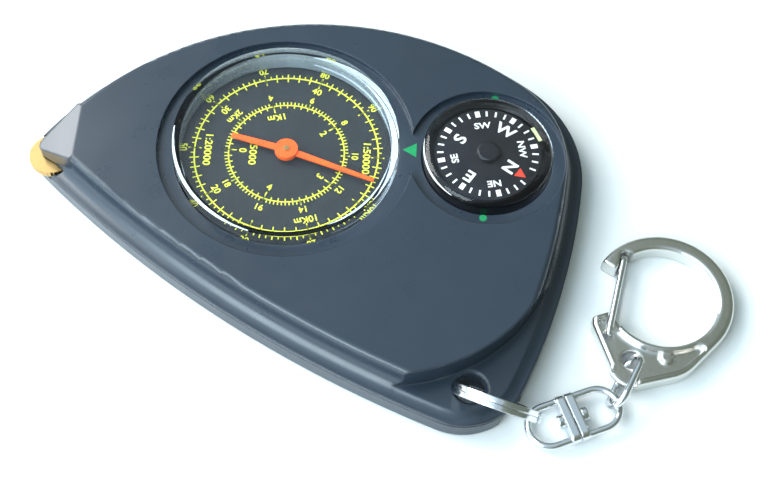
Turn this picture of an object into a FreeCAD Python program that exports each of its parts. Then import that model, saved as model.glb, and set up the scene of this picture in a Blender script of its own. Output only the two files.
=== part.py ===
import FreeCAD, Part
import math
import os
import re
import Sketcher
from FreeCAD import Placement, Rotation, Vector

# Pocket map measurer: a leaf-shaped case with a measuring wheel at its tip, a dial worked by
# a gear train, a small liquid compass, and a snap clip on a swivel at the lanyard corner.
# The frame has its origin on the flat rear face under the pointer's axis, +X from the wheel
# towards the compass, +Y away from the lanyard corner and +Z out of the dial. Millimetres.

doc = FreeCAD.newDocument("map_measurer")
sheet = doc.addObject("Spreadsheet::Sheet", "Sizes")

# Driving dimensions: name, millimetres, degrees or a count, and what it is
SIZES = [
    ("case_height", 9.1, "rear face to top face"),
    ("parting_height", 3.7, "rear face to the seam of the two shells"),
    ("near_side_radius", 202.0, "long side towards the lanyard corner"),
    ("near_side_angle", -120.3, "way that side's middle faces"),
    ("near_side_x", -4.915, "middle of that side"),
    ("near_side_y", -31.007, "middle of that side"),
    ("right_side_radius", 121.2, "side beside the compass"),
    ("right_side_angle", -10.4, "way that side's middle faces"),
    ("right_side_x", 48.609, "middle of that side"),
    ("right_side_y", -12.979, "middle of that side"),
    ("far_side_radius", 57.1, "domed long side"),
    ("far_side_angle", 100.0, "way that side's middle faces"),
    ("far_side_x", -3.115, "middle of that side"),
    ("far_side_y", 28.382, "middle of that side"),
    ("lanyard_corner_radius", 10.3, "corner that carries the ring"),
    ("compass_corner_radius", 22.0, "corner beyond the compass"),
    ("tip_radius", 4.5, "corner at the measuring wheel"),
    ("seam_height", 0.25, "shadow line under the seam"),
    ("seam_depth", 0.3, "shadow line under the seam"),
    ("rear_edge_radius", 0.6, "rounding round the rear face"),
    ("floor_thickness", 1.2, "lower shell's floor"),
    ("lower_wall", 1.4, "lower shell's wall"),
    ("flare_width", 3.05, "how far the seam stands out past the top face"),
    ("lip_thickness", 0.4, "upper shell's thin lip at the seam"),
    ("lip_land", 0.45, "flat left on the lip outside the cove"),
    ("top_edge_radius", 0.8, "rounding round the top face"),
    ("roof_thickness", 1.5, "upper shell's roof"),
    ("upper_wall", 1.4, "upper shell's wall at the top outline"),
    ("bulkhead_radius", 300.0, "nearly straight inner wall across the lanyard corner"),
    ("bulkhead_reach", 22.0, "that wall's distance from the step's centre"),
    ("bulkhead_angle", -52.5, "direction that wall faces"),
    ("cavity_corner", 1.2, "inner corners beside the bulkhead"),
    ("cavity_tip_radius", 6.0, "upper cavity's corner towards the tip"),
    ("step_radius", 27.8, "curved step down to the lanyard corner"),
    ("step_x", 17.4, "centre of the step's arc"),
    ("step_y", -13.2, "centre of the step's arc"),
    ("step_first_angle", -84.0, "where the step's arc begins"),
    ("step_last_angle", -28.0, "where the step's arc ends"),
    ("step_run_out", 22.0, "straight run beyond each end of the arc"),
    ("step_floor_rise", 1.0, "recess floor above the seam"),
    ("facet_x", -35.1, "ridge where the sloped tip facet starts"),
    ("facet_angle", 22.5, "slope of the tip facet"),
    ("nose_x", -40.15, "rounded end of the facet, over the wheel"),
    ("nose_y", -1.2, "rounded end of the facet"),
    ("nose_radius", 1.3, "rounded end of the facet"),
    ("nose_near_y", -4.6, "near corner of the facet's root"),
    ("nose_far_y", 5.5, "far corner of the facet's root"),
    ("nose_root_radius", 0.5, "both corners of the facet's root"),
    ("hole_x", 32.0, "lanyard hole"),
    ("hole_y", -40.45, "lanyard hole"),
    ("hole_radius", 2.5, "lanyard hole"),
    ("hole_chamfer", 0.45, "lanyard hole's mouths"),
    ("channel_depth", 2.8, "channel in the rear face that lets the ring pass"),
    ("overrun", 2.0, "how far every cut runs past the face it opens"),
    ("dial_recess_radius", 21.5, "round recess that frames the dial"),
    ("recess_depth", 1.0, "depth of both round recesses"),
    ("ledge_thickness", 1.1, "ledge that holds a window down"),
    ("ledge_border", 1.5, "ledge's backing outside the dial recess"),
    ("crystal_radius", 18.8, "dial window"),
    ("crystal_proud", 1.8, "dial window above the top face"),
    ("crystal_thickness", 1.2, "dial window's pane"),
    ("crystal_skirt", 1.2, "dial window's side wall"),
    ("crystal_flange", 1.0, "dial window's flange past its side"),
    ("window_clearance", 0.1, "round each window in its hole"),
    ("compass_x", 33.66, "compass centre"),
    ("compass_recess_radius", 13.19, "round recess that frames the compass"),
    ("capsule_radius", 10.9, "clear compass capsule"),
    ("capsule_wall", 0.6, "clear compass capsule"),
    ("capsule_shoulder", 1.8, "capsule's straight side above the recess floor"),
    ("capsule_crown", 1.8, "height of the capsule's domed top"),
    ("capsule_edge_radius", 1.4, "rounding of the capsule's shoulder"),
    ("capsule_flange", 0.8, "capsule's flange under the ledge"),
    ("flange_thickness", 0.8, "both windows' flanges"),
    ("capsule_base_height", 3.0, "capsule's black base"),
    ("capsule_base_floor", 0.8, "capsule's black base"),
    ("card_radius", 8.8, "compass card"),
    ("card_thickness", 0.3, "compass card"),
    ("card_rise", 0.9, "card's top above the recess floor"),
    ("card_hub_radius", 2.0, "boss in the middle of the card"),
    ("card_hub_height", 1.0, "boss in the middle of the card"),
    ("capsule_seat_radius", 4.0, "round seat under the capsule's base"),
    ("jewel_radius", 0.7, "compass bearing"),
    ("jewel_cup", 0.5, "depth and width of the bearing's cup"),
    ("jewel_reach", 0.3, "bearing below the card"),
    ("jewel_height", 0.6, "compass bearing"),
    ("needle_radius", 0.3, "compass pivot"),
    ("needle_point", 0.6, "length of the pivot's point"),
    ("magnet_radius", 3.2, "ring magnet under the card"),
    ("magnet_thickness", 1.0, "ring magnet under the card"),
    ("magnet_bore", 0.9, "ring magnet under the card"),
    ("plate_margin", 0.3, "dial plate's edge inside the window's side"),
    ("plate_thickness", 0.4, "printed dial plate"),
    ("plate_depth", 3.0, "dial plate under the top face"),
    ("bridge_margin", 0.1, "bridge's edge outside the window's side"),
    ("bridge_thickness", 0.4, "round plate that carries the dial"),
    ("bridge_tongue", 3.6, "half width of the tongue over the first gear"),
    ("pillar_radius", 1.3, "pillars under the bridge"),
    ("pillar_circle", 17.0, "pillars' distance from the dial's centre"),
    ("pillar_angle", 55.0, "pillars' angle from the long axis"),
    ("wheel_x", -39.6, "measuring wheel's axis"),
    ("wheel_y", -1.5, "measuring wheel's axis"),
    ("wheel_radius", 3.98, "25 mm round the wheel, 1/40 of the dial's metre"),
    ("wheel_thickness", 1.2, "measuring wheel"),
    ("wheel_teeth", 40, "notches round the rim"),
    ("wheel_notch", 0.22, "depth of a notch"),
    ("wheel_gap", 0.3, "air round the wheel in its slot"),
    ("axle_radius", 0.55, "measuring wheel's axle"),
    ("axle_seat", 1.0, "length of axle held in the upper shell"),
    ("pinion_gap", 0.25, "air round the wheel's pinion"),
    ("fine_module", 0.3, "first pair of gears"),
    ("coarse_module", 0.5, "second pair of gears"),
    ("wheel_pinion_teeth", 10, "first pair"),
    ("first_gear_teeth", 50, "first pair"),
    ("first_pinion_teeth", 12, "second pair"),
    ("second_gear_teeth", 48, "second pair"),
    ("second_pinion_teeth", 21, "third pair"),
    ("pointer_gear_teeth", 42, "third pair"),
    ("first_stage_angle", 15.0, "direction from the wheel to the first gear"),
    ("gear_thickness_share", 0.195, "every gear, of the room between floor and bridge"),
    ("gear_lift_share", 0.098, "first gear above the floor, of that room"),
    ("gear_headroom_share", 0.073, "pointer gear under the bridge, of that room"),
    ("gear_play", 0.2, "end play of every gear"),
    ("gear_backlash", 0.09, "play between meshing teeth"),
    ("pin_radius", 0.5, "gear pins and pointer arbor"),
    ("pin_seat", 0.7, "length of pin held in the floor, and its boss above it"),
    ("running_clearance", 0.05, "round every turning pin"),
    ("boss_wall", 0.7, "bosses and gear sleeves round their pins"),
    ("hand_hub_radius", 1.95, "pointer's hub"),
    ("hand_hub_height", 0.9, "pointer's hub"),
    ("hand_lift", 0.5, "pointer's hub above the dial plate"),
    ("hand_thickness", 0.35, "pointer's arms"),
    ("hand_long", 15.8, "long arm, to the outer scales"),
    ("hand_short", 9.65, "short arm, to the inner scales"),
    ("hand_root", 1.2, "width of both arms at the hub"),
    ("hand_long_end", 0.6, "width of the long arm's end"),
    ("hand_short_end", 0.9, "width of the short arm's end"),
    ("hand_angle", -18.9, "direction of the long arm"),
    ("hand_bend", 5.0, "short arm off the long arm's line"),
    ("arbor_proud", 0.2, "arbor's end above the pointer's hub"),
    ("screw_core", 0.8, "case screws"),
    ("screw_length", 5.4, "case screws under the head"),
    ("screw_head_radius", 1.7, "case screws"),
    ("screw_head_height", 0.9, "case screws"),
    ("screw_sink", 0.15, "screw head below the rear face"),
    ("screw_head_gap", 0.2, "round the screw heads"),
    ("screw_wall", 1.1, "bosses round the screws"),
    ("screw_1_x", -25.0, "first screw"),
    ("screw_1_y", 12.5, "first screw"),
    ("screw_2_x", -6.0, "second screw"),
    ("screw_2_y", -21.5, "second screw"),
    ("screw_3_x", 30.0, "third screw"),
    ("screw_3_y", -27.0, "third screw"),
    ("screw_4_x", 20.0, "fourth screw"),
    ("screw_4_y", 20.0, "fourth screw"),
    ("ring_radius", 7.15, "split ring's outside"),
    ("ring_band", 1.3, "split ring's strip, across"),
    ("ring_turn_width", 0.85, "split ring's strip, along the ring's axis"),
    ("ring_turn_gap", 0.08, "air between the two turns"),
    ("ring_crossover", 50.0, "angle over which the strip steps from one turn to the other"),
    ("ring_end_gap", 4.0, "angle left between a turn's end and the step"),
    ("ring_start", 60.0, "where round the ring the strip begins"),
    ("ring_pass", 2.925, "height at which the ring passes through the hole"),
    ("ring_heading", -18.0, "direction of the ring's level diameter"),
    ("ring_lean", 26.0, "ring's lean from upright"),
    ("swivel_length", 16.2, "swivel over both bows"),
    ("swivel_width", 8.0, "both stirrups"),
    ("stirrup_wire", 1.2, "stirrups' bows"),
    ("collar_thickness", 1.35, "stirrups' end plates, along the swivel"),
    ("collar_height", 2.4, "stirrups' end plates, across"),
    ("collar_overhang", 0.15, "stirrups' end plates past the bows"),
    ("collar_gap", 0.15, "between the end plates"),
    ("collar_offset", 0.275, "end plates nearer to the near bow"),
    ("rivet_radius", 0.7, "swivel rivet"),
    ("rivet_head_radius", 1.15, "swivel rivet"),
    ("rivet_head_length", 1.0, "swivel rivet"),
    ("swivel_heading", 22.5, "direction of the swivel"),
    ("swivel_rise", 1.0, "near bow above the floor"),
    ("swivel_fall", 1.95, "far bow above the floor"),
    ("bow_x", 41.6, "near bow"),
    ("bow_y", -46.0, "near bow"),
    ("link_wire", 1.15, "oval link"),
    ("link_straight", 5.3, "straight sides of the oval link"),
    ("link_bend", 2.2, "end bends of the oval link, to the wire's middle"),
    ("link_x", 56.55, "oval link's middle"),
    ("link_y", -36.92, "oval link's middle"),
    ("link_heading", 66.0, "direction of the oval link"),
    ("link_lean", 62.4, "oval link's tilt from lying flat"),
    ("clip_height", 3.2, "snap clip"),
    ("clip_x", 63.3, "middle of the clip's loop"),
    ("clip_y", -21.5, "middle of the clip's loop"),
    ("clip_loop_radius", 8.95, "inside of the loop"),
    ("clip_outer_radius", 11.6, "outside of the loop"),
    ("clip_edge", 0.8, "rounding of the clip's edges"),
    ("eye_radius", 1.65, "clip's eye"),
    ("eye_x", 57.8, "clip's eye"),
    ("eye_y", -32.75, "clip's eye"),
    ("web_thickness", 0.8, "clip's thin web round the eye"),
    ("gate_wire", 1.1, "clip's sprung gate"),
    ("gate_x", 54.2, "gate's pivot"),
    ("gate_y", -28.6, "gate's pivot"),
    ("gate_landing", 0.63, "gate's end outside the loop's inner side"),
    ("gate_landing_angle", 129.53, "where round the loop the gate meets the hook"),
    ("gate_clearance", 0.2, "round the gate in its hole and notch"),
    ("mouth_first", 148.0, "where the hook's nose ends round the loop"),
    ("mouth_last", 201.0, "where the shoulder begins round the loop"),
    ("shoulder_x", 53.3, "clip's shoulder beside the gate"),
    ("shoulder_y", -26.9, "clip's shoulder beside the gate"),
    ("shoulder_radius", 1.7, "clip's shoulder beside the gate"),
    ("heel_x", 58.2, "clip's heel round the eye"),
    ("heel_y", -33.6, "clip's heel round the eye"),
    ("heel_radius", 4.0, "clip's heel round the eye"),
    ("belly_x", 62.4, "clip's underside"),
    ("belly_y", -28.9, "clip's underside"),
    ("belly_radius", 7.3, "clip's underside"),
    ("web_end_x", 69.0, "web's narrow end"),
    ("web_end_y", -30.6, "web's narrow end"),
    ("loop_edge", 0.45, "rounding inside the loop"),
    ("gate_corner", 0.6, "bend of the gate's ends into its pivot hole"),
    ("gate_opening", 25.0, "how far the gate opens"),
    ("rim_width", 0.9, "raised rim round the clip's web"),
    ("web_end_radius", 0.5, "web's narrow end"),
    ("eye_gap_angle", -110.0, "direction in which the rim is open for the link"),
    ("eye_gap_radius", 2.2, "opening in the rim for the link"),
    ("boss_x", 63.45, "clip's round boss"),
    ("boss_y", -32.1, "clip's round boss"),
    ("boss_radius", 1.1, "clip's round boss"),
    ("boss_height", 0.7, "clip's round boss above the web"),
]

for row, (alias, number, meaning) in enumerate(SIZES, start=1):
    sheet.set("A%d" % row, alias)
    sheet.set("B%d" % row, str(number))
    sheet.set("C%d" % row, meaning)
    sheet.setAlias("B%d" % row, alias)
doc.recompute()


def spelled(expression):
    """The expression with the sheet's name before each of its sizes."""
    return re.sub(r"\b(?!(?:cos|sin|tan|atan2|sqrt|deg)\b)([a-z]\w*)", r"Sizes.\1", expression)


def value(expression):
    """Number that an expression over the sheet's names has now."""
    result = sheet.evalExpression(spelled(expression))
    return float(getattr(result, "Value", result))


def worked_out(name, expression):
    """Size that follows from others, kept in the sheet under its own name."""
    worked_out.row += 1
    sheet.set("A%d" % worked_out.row, name)
    sheet.set("B%d" % worked_out.row, "=" + expression)
    sheet.setAlias("B%d" % worked_out.row, name)


worked_out.row = len(SIZES) + 1
for side in ("near_side", "right_side", "far_side"):
    for axis, way in (("x", "cos"), ("y", "sin")):
        follows = "{0}_{1} - {0}_radius * {2}({0}_angle * 1 deg)".format(side, axis, way)
        worked_out("%s_centre_%s" % (side, axis), follows)
worked_out("recess_floor", "case_height - recess_depth")
worked_out("ledge_bottom", "recess_floor - ledge_thickness")
worked_out("roof_bottom", "case_height - roof_thickness")
worked_out("corner_floor", "parting_height + step_floor_rise")
worked_out("rim_bottom", "parting_height - seam_height")
worked_out("plate_top", "case_height - plate_depth")
worked_out("plate_bottom", "plate_top - plate_thickness")
worked_out("bridge_bottom", "plate_bottom - bridge_thickness")
worked_out("capsule_flange_bottom", "ledge_bottom - flange_thickness")
worked_out("capsule_base_bottom", "capsule_flange_bottom - capsule_base_height")
worked_out("card_top", "recess_floor + card_rise")
worked_out("card_bottom", "card_top - card_thickness")
worked_out("jewel_bottom", "card_bottom - jewel_reach")
worked_out("gear_room", "bridge_bottom - floor_thickness")
worked_out("gear_thickness", "gear_room * gear_thickness_share")
worked_out("storey_1", "floor_thickness + gear_room * gear_lift_share")
worked_out("storey_3", "bridge_bottom - gear_room * gear_headroom_share - gear_thickness")
worked_out("storey_2", "(storey_1 + storey_3) / 2")
worked_out("gear_storey", "storey_2 - storey_1")
worked_out("pin_top", "bridge_bottom + bridge_thickness")
worked_out("pin_bottom", "floor_thickness - pin_seat")
worked_out("sleeve_top", "bridge_bottom - gear_play")
worked_out("wheel_bottom", "parting_height - wheel_thickness / 2")
worked_out("wheel_top", "parting_height + wheel_thickness / 2")
worked_out("slot_radius", "wheel_radius + wheel_gap")
worked_out("first_pair", "fine_module * (wheel_pinion_teeth + first_gear_teeth) / 2")
worked_out("second_pair", "coarse_module * (first_pinion_teeth + second_gear_teeth) / 2")
worked_out("gear_1_x", "wheel_x + first_pair * cos(first_stage_angle * 1 deg)")
worked_out("gear_1_y", "wheel_y + first_pair * sin(first_stage_angle * 1 deg)")
worked_out("train_reach", "sqrt(gear_1_x ^ 2 + gear_1_y ^ 2)")
worked_out("third_pair", "train_reach - second_pair")
worked_out("gear_2_x", "gear_1_x * third_pair / train_reach")
worked_out("gear_2_y", "gear_1_y * third_pair / train_reach")
worked_out("last_module", "2 * third_pair / (second_pinion_teeth + pointer_gear_teeth)")
worked_out("bore_radius", "pin_radius + running_clearance")
worked_out("sleeve_radius", "pin_radius + boss_wall")
worked_out("ring_middle", "ring_radius - ring_band / 2")
worked_out("ring_width", "2 * ring_turn_width + ring_turn_gap")
worked_out("ring_z", "ring_radius * cos(ring_lean * 1 deg) + ring_width / 2 * sin(ring_lean * 1 deg)")
worked_out("ring_drop", "(ring_z - ring_pass) / cos(ring_lean * 1 deg)")
worked_out("ring_reach", "sqrt(ring_middle ^ 2 - ring_drop ^ 2)")
worked_out("ring_aside", "ring_drop * sin(ring_lean * 1 deg)")
worked_out("ring_across", "cos(ring_heading * 1 deg)")
worked_out("ring_along", "sin(ring_heading * 1 deg)")
worked_out("ring_x", "hole_x + ring_reach * ring_across + ring_aside * ring_along")
worked_out("ring_y", "hole_y + ring_reach * ring_along - ring_aside * ring_across")
worked_out("near_collar", "swivel_length / 2 - collar_gap / 2 - collar_thickness - collar_offset")
worked_out("swivel_span", "swivel_length - stirrup_wire")
worked_out("web_bottom", "(clip_height - web_thickness) / 2")
worked_out("web_top", "(clip_height + web_thickness) / 2")
worked_out("gate_bend", "(clip_height - gate_wire) / 2")
worked_out("gate_end_radius", "clip_loop_radius + gate_landing")
worked_out("gate_across", "clip_x + gate_end_radius * cos(gate_landing_angle * 1 deg) - gate_x")
worked_out("gate_along", "clip_y + gate_end_radius * sin(gate_landing_angle * 1 deg) - gate_y")
worked_out("gate_length", "sqrt(gate_across ^ 2 + gate_along ^ 2)")
worked_out("gate_heading", "atan2(gate_along; gate_across) / 1 deg")
doc.recompute()


# Sketch and feature helpers
NEAR = 1e-4


def bind(thing, property_name, expression):
    """Tie a property to an expression over the sheet's names."""
    thing.setExpression(property_name, spelled(expression))


def new_body(name):
    body = doc.addObject("PartDesign::Body", name)
    body.Label = name
    return body


def new_sketch(body, plane, height):
    """Sketch on one of the body's own planes, raised along the plane's normal."""
    sketch = body.newObject("Sketcher::SketchObject", "Sketch")
    origin_plane = [f for f in body.Origin.OriginFeatures if f.Role == plane][0]
    sketch.AttachmentSupport = [(origin_plane, "")]
    sketch.MapMode = "FlatFace"
    bind(sketch, "AttachmentOffset.Base.z", height)
    return sketch


def hold(sketch, kind, expression, *places):
    """Dimension of a sketch, tied to the sheet."""
    number = value(expression)
    index = sketch.addConstraint(Sketcher.Constraint(kind, *places, number))
    bind(sketch, "Constraints[%d]" % index, expression)


def hold_point(sketch, geometry, point, x, y):
    hold(sketch, "DistanceX", x, -1, 1, geometry, point)
    hold(sketch, "DistanceY", y, -1, 1, geometry, point)


def draw_circle(sketch, x, y, radius):
    circle = Part.Circle(Vector(value(x), value(y), 0), Vector(0, 0, 1), value(radius))
    index = sketch.addGeometry(circle)
    hold_point(sketch, index, 3, x, y)
    hold(sketch, "Radius", radius, index)


def draw_polygon(sketch, points):
    """Closed run of straight lines through points given as pairs of expressions."""
    spots = [Vector(value(x), value(y), 0) for x, y in points]
    first = sketch.GeometryCount
    for index, spot in enumerate(spots):
        sketch.addGeometry(Part.LineSegment(spot, spots[(index + 1) % len(spots)]))
    for index in range(len(spots)):
        following = first + (index + 1) % len(spots)
        sketch.addConstraint(Sketcher.Constraint("Coincident", first + index, 2, following, 1))
    for index, (x, y) in enumerate(points):
        hold_point(sketch, first + index, 1, x, y)


def crossing(first, second):
    """Left-hand crossing of two circles given as (x, y, radius)."""
    dx = second[0] - first[0]
    dy = second[1] - first[1]
    gap = math.hypot(dx, dy)
    along = (gap ** 2 + first[2] ** 2 - second[2] ** 2) / (2 * gap)
    aside = math.sqrt(first[2] ** 2 - along ** 2)
    return (first[0] + (along * dx - aside * dy) / gap, first[1] + (along * dy + aside * dx) / gap)


def draw_leaf(sketch, sides, corners):
    """Closed outline of bulging sides, met by tangent corner arcs, anticlockwise.

    Each side is (centre x, centre y, radius) and each corner the radius after that side.
    """
    discs = [tuple(value(part) for part in side) for side in sides]
    rounds = [value(corner) for corner in corners]
    count = len(discs)
    middles = []
    for index in range(count):
        shrunk = [(x, y, r - rounds[index]) for x, y, r in (discs[index], discs[(index + 1) % count])]
        middles.append(crossing(*shrunk))

    def touch(disc, middle):
        angle = math.atan2(middle[1] - disc[1], middle[0] - disc[0])
        return Vector(disc[0] + disc[2] * math.cos(angle), disc[1] + disc[2] * math.sin(angle), 0)

    def arc(centre, start, end):
        begin = math.atan2(start.y - centre[1], start.x - centre[0])
        finish = math.atan2(end.y - centre[1], end.x - centre[0])
        radius = math.hypot(start.x - centre[0], start.y - centre[1])
        circle = Part.Circle(Vector(centre[0], centre[1], 0), Vector(0, 0, 1), radius)
        return Part.ArcOfCircle(circle, begin, finish)

    for index in range(count):
        following = (index + 1) % count
        begin = touch(discs[index], middles[index - 1])
        end = touch(discs[index], middles[index])
        start = touch(discs[following], middles[index])
        sketch.addGeometry(arc(discs[index], begin, end))
        sketch.addGeometry(arc(middles[index], end, start))
    for index in range(2 * count):
        following = (index + 1) % (2 * count)
        sketch.addConstraint(Sketcher.Constraint("Tangent", index, 2, following, 1))
    for index in range(count):
        hold_point(sketch, 2 * index, 3, sides[index][0], sides[index][1])
        hold(sketch, "Radius", sides[index][2], 2 * index)
        hold(sketch, "Radius", corners[index], 2 * index + 1)


def pad(body, sketch, length):
    feature = body.newObject("PartDesign::Pad", "Pad")
    feature.Profile = sketch
    bind(feature, "Length", length)
    doc.recompute()
    return feature


def cut(body, sketch, length, upwards):
    """Pocket along the sketch's normal, or against it, that must take material away."""
    before = body.Shape.Volume
    feature = body.newObject("PartDesign::Pocket", "Pocket")
    feature.Profile = sketch
    feature.Reversed = upwards
    bind(feature, "Length", length)
    doc.recompute()
    if not body.Shape.Volume < before:
        raise ValueError("a pocket of %s cuts nothing" % body.Label)
    return feature


def disc_pad(body, circles, bottom, top):
    sketch = new_sketch(body, "XY_Plane", bottom)
    for circle in circles:
        draw_circle(sketch, *circle)
    return pad(body, sketch, "(%s) - (%s)" % (top, bottom))


def disc_cut(body, circles, bottom, top):
    sketch = new_sketch(body, "XY_Plane", bottom)
    for circle in circles:
        draw_circle(sketch, *circle)
    return cut(body, sketch, "(%s) - (%s)" % (top, bottom), True)


def dress(body, kind, base, edges, amount):
    """Fillet or Chamfer on the chosen edges of a feature."""
    names = ["Edge%d" % (i + 1) for i, edge in enumerate(base.Shape.Edges) if edges(edge)]
    feature = body.newObject("PartDesign::" + kind, kind)
    feature.Base = (base, names)
    bind(feature, "Radius" if kind == "Fillet" else "Size", amount)
    doc.recompute()
    return feature


def level(edge, height):
    """True for an edge that lies all along at one height."""
    box = edge.BoundBox
    return max(abs(box.ZMin - height), abs(box.ZMax - height)) < NEAR


def curved(edge, radius):
    """True for a round edge of the given radius."""
    return abs(getattr(edge.Curve, "Radius", 0) - radius) < NEAR


def spin(body, sketch, kind):
    """Revolution or Groove of a sketch about the vertical line through the body's origin."""
    feature = body.newObject("PartDesign::" + kind, kind)
    feature.Profile = sketch
    feature.ReferenceAxis = (sketch, ["V_Axis"])
    feature.Angle = 360
    doc.recompute()
    return feature


def revolve(body, points):
    """Round piece turned from (radius, height) points."""
    sketch = new_sketch(body, "XZ_Plane", "0")
    draw_polygon(sketch, points)
    return spin(body, sketch, "Revolution")


def cylinder(name, radius, bottom, top, x="0", y="0"):
    rod = doc.addObject("Part::Cylinder", name)
    rod.Label = name
    bind(rod, "Radius", radius)
    bind(rod, "Height", "(%s) - (%s)" % (top, bottom))
    bind(rod, "Placement.Base.x", x)
    bind(rod, "Placement.Base.y", y)
    bind(rod, "Placement.Base.z", bottom)
    return rod


def draw_belt(sketch, circles):
    """Convex outline wrapped round circles, anticlockwise: tangent lines and arcs."""
    discs = [tuple(value(part) for part in circle) for circle in circles]
    count = len(discs)
    turns = []
    for index in range(count):
        first, second = discs[index], discs[(index + 1) % count]
        gap = math.hypot(second[0] - first[0], second[1] - first[1])
        heading = math.atan2(second[1] - first[1], second[0] - first[0])
        turns.append(heading - math.acos((first[2] - second[2]) / gap))

    def rim(disc, angle):
        return Vector(disc[0] + disc[2] * math.cos(angle), disc[1] + disc[2] * math.sin(angle), 0)

    for index in range(count):
        disc = discs[index]
        circle = Part.Circle(Vector(disc[0], disc[1], 0), Vector(0, 0, 1), disc[2])
        sketch.addGeometry(Part.ArcOfCircle(circle, turns[index - 1], turns[index]))
        following = discs[(index + 1) % count]
        sketch.addGeometry(Part.LineSegment(rim(disc, turns[index]), rim(following, turns[index])))
    for index in range(2 * count):
        following = (index + 1) % (2 * count)
        sketch.addConstraint(Sketcher.Constraint("Tangent", index, 2, following, 1))
    for index in range(count):
        hold_point(sketch, 2 * index, 3, circles[index][0], circles[index][1])
        hold(sketch, "Radius", circles[index][2], 2 * index)


def belt_pad(body, circles, bottom, top):
    sketch = new_sketch(body, "XY_Plane", bottom)
    draw_belt(sketch, circles)
    return pad(body, sketch, "(%s) - (%s)" % (top, bottom))


def belt_cut(body, circles, bottom, top):
    sketch = new_sketch(body, "XY_Plane", bottom)
    draw_belt(sketch, circles)
    return cut(body, sketch, "(%s) - (%s)" % (top, bottom), True)


# The case's outline, drawn inwards from the seam by an inset

def case_sides(inset):
    return [("%s_centre_x" % side, "%s_centre_y" % side, "%s_radius - (%s)" % (side, inset))
            for side in ("near_side", "right_side", "far_side")]


def case_outline(sketch, inset):
    corners = ["lanyard_corner_radius", "compass_corner_radius", "tip_radius"]
    draw_leaf(sketch, case_sides(inset), ["%s - (%s)" % (corner, inset) for corner in corners])


def cavity_outline(sketch, inset, tip):
    """Room inside a shell: the inset outline, closed off before the lanyard corner."""
    sides = case_sides(inset)
    away = "(bulkhead_radius - bulkhead_reach)"
    bulkhead = ("step_x - %s * cos(bulkhead_angle * 1 deg)" % away,
                "step_y - %s * sin(bulkhead_angle * 1 deg)" % away, "bulkhead_radius")
    sides.insert(1, bulkhead)
    draw_leaf(sketch, sides, ["cavity_corner", "cavity_corner", "compass_corner_radius - (%s)" % inset, tip])


SCREW_SPOTS = [("screw_1_x", "screw_1_y"), ("screw_2_x", "screw_2_y"),
               ("screw_3_x", "screw_3_y"), ("screw_4_x", "screw_4_y")]
PILLAR_SIGNS = [(1, 1), (1, -1), (-1, 1), (-1, -1)]


def pillar_spots():
    return [("%d * pillar_circle * cos(pillar_angle * 1 deg)" % across,
             "%d * pillar_circle * sin(pillar_angle * 1 deg)" % along) for across, along in PILLAR_SIGNS]


def hole_mouth(height):
    """Test for the lanyard hole's round edge at one height."""
    def test(edge):
        return level(edge, value(height)) and curved(edge, value("hole_radius"))
    return test


def make_lower_shell():
    """Rear tray with pillars, gear bosses, screw tubes and the lanyard corner's solid end."""
    body = new_body("lower_shell")
    base = new_sketch(body, "XY_Plane", "0")
    case_outline(base, "0")
    tray = pad(body, base, "rim_bottom")
    dress(body, "Fillet", tray, lambda edge: level(edge, 0), "rear_edge_radius")
    rim = new_sketch(body, "XY_Plane", "rim_bottom")
    case_outline(rim, "seam_depth")
    pad(body, rim, "seam_height")
    room = new_sketch(body, "XY_Plane", "floor_thickness")
    cavity_outline(room, "lower_wall", "tip_radius - lower_wall")
    cut(body, room, "parting_height + overrun", True)
    tubes = [(x, y, "screw_core + screw_head_gap + screw_wall") for x, y in SCREW_SPOTS]
    inside = "floor_thickness / 2"
    disc_pad(body, tubes, inside, "parting_height")
    pillars = [(x, y, "pillar_radius") for x, y in pillar_spots()]
    disc_pad(body, pillars, inside, "bridge_bottom")
    disc_pad(body, [("gear_1_x", "gear_1_y", "sleeve_radius")], inside, "storey_1 - gear_play")
    disc_pad(body, [("gear_2_x", "gear_2_y", "sleeve_radius")], inside, "storey_2 - gear_play")
    disc_pad(body, [("0", "0", "sleeve_radius")], inside, "storey_2 - gear_play")
    disc_pad(body, [("compass_x", "0", "capsule_seat_radius")], inside, "capsule_base_bottom")
    wheel = ("wheel_x", "wheel_y")
    disc_cut(body, [wheel + ("slot_radius",)], "wheel_bottom - wheel_gap", "parting_height + overrun")
    pinion = wheel + ("fine_module * (wheel_pinion_teeth / 2 + 1) + pinion_gap",)
    disc_cut(body, [pinion], "floor_thickness", "wheel_bottom")
    disc_cut(body, [wheel + ("axle_radius + running_clearance",)], "pin_bottom", "wheel_bottom")
    pins = [("gear_1_x", "gear_1_y", "pin_radius"), ("gear_2_x", "gear_2_y", "pin_radius")]
    disc_cut(body, pins + [("0", "0", "bore_radius")], "pin_bottom", "storey_3")
    shanks = [(x, y, "screw_core + screw_head_gap") for x, y in SCREW_SPOTS]
    disc_cut(body, shanks, "-overrun", "parting_height + overrun")
    heads = [(x, y, "screw_head_radius + screw_head_gap") for x, y in SCREW_SPOTS]
    disc_cut(body, heads, "-overrun", "screw_sink + screw_head_height")
    disc_cut(body, [("hole_x", "hole_y", "hole_radius")], "-overrun", "parting_height + overrun")
    channel = new_sketch(body, "XY_Plane", "-overrun")
    far_x = "hole_x + 3 * lanyard_corner_radius * cos(ring_heading * 1 deg)"
    far_y = "hole_y + 3 * lanyard_corner_radius * sin(ring_heading * 1 deg)"
    draw_belt(channel, [("hole_x", "hole_y", "hole_radius"), (far_x, far_y, "hole_radius")])
    cut(body, channel, "overrun + channel_depth", True)
    return body


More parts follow.
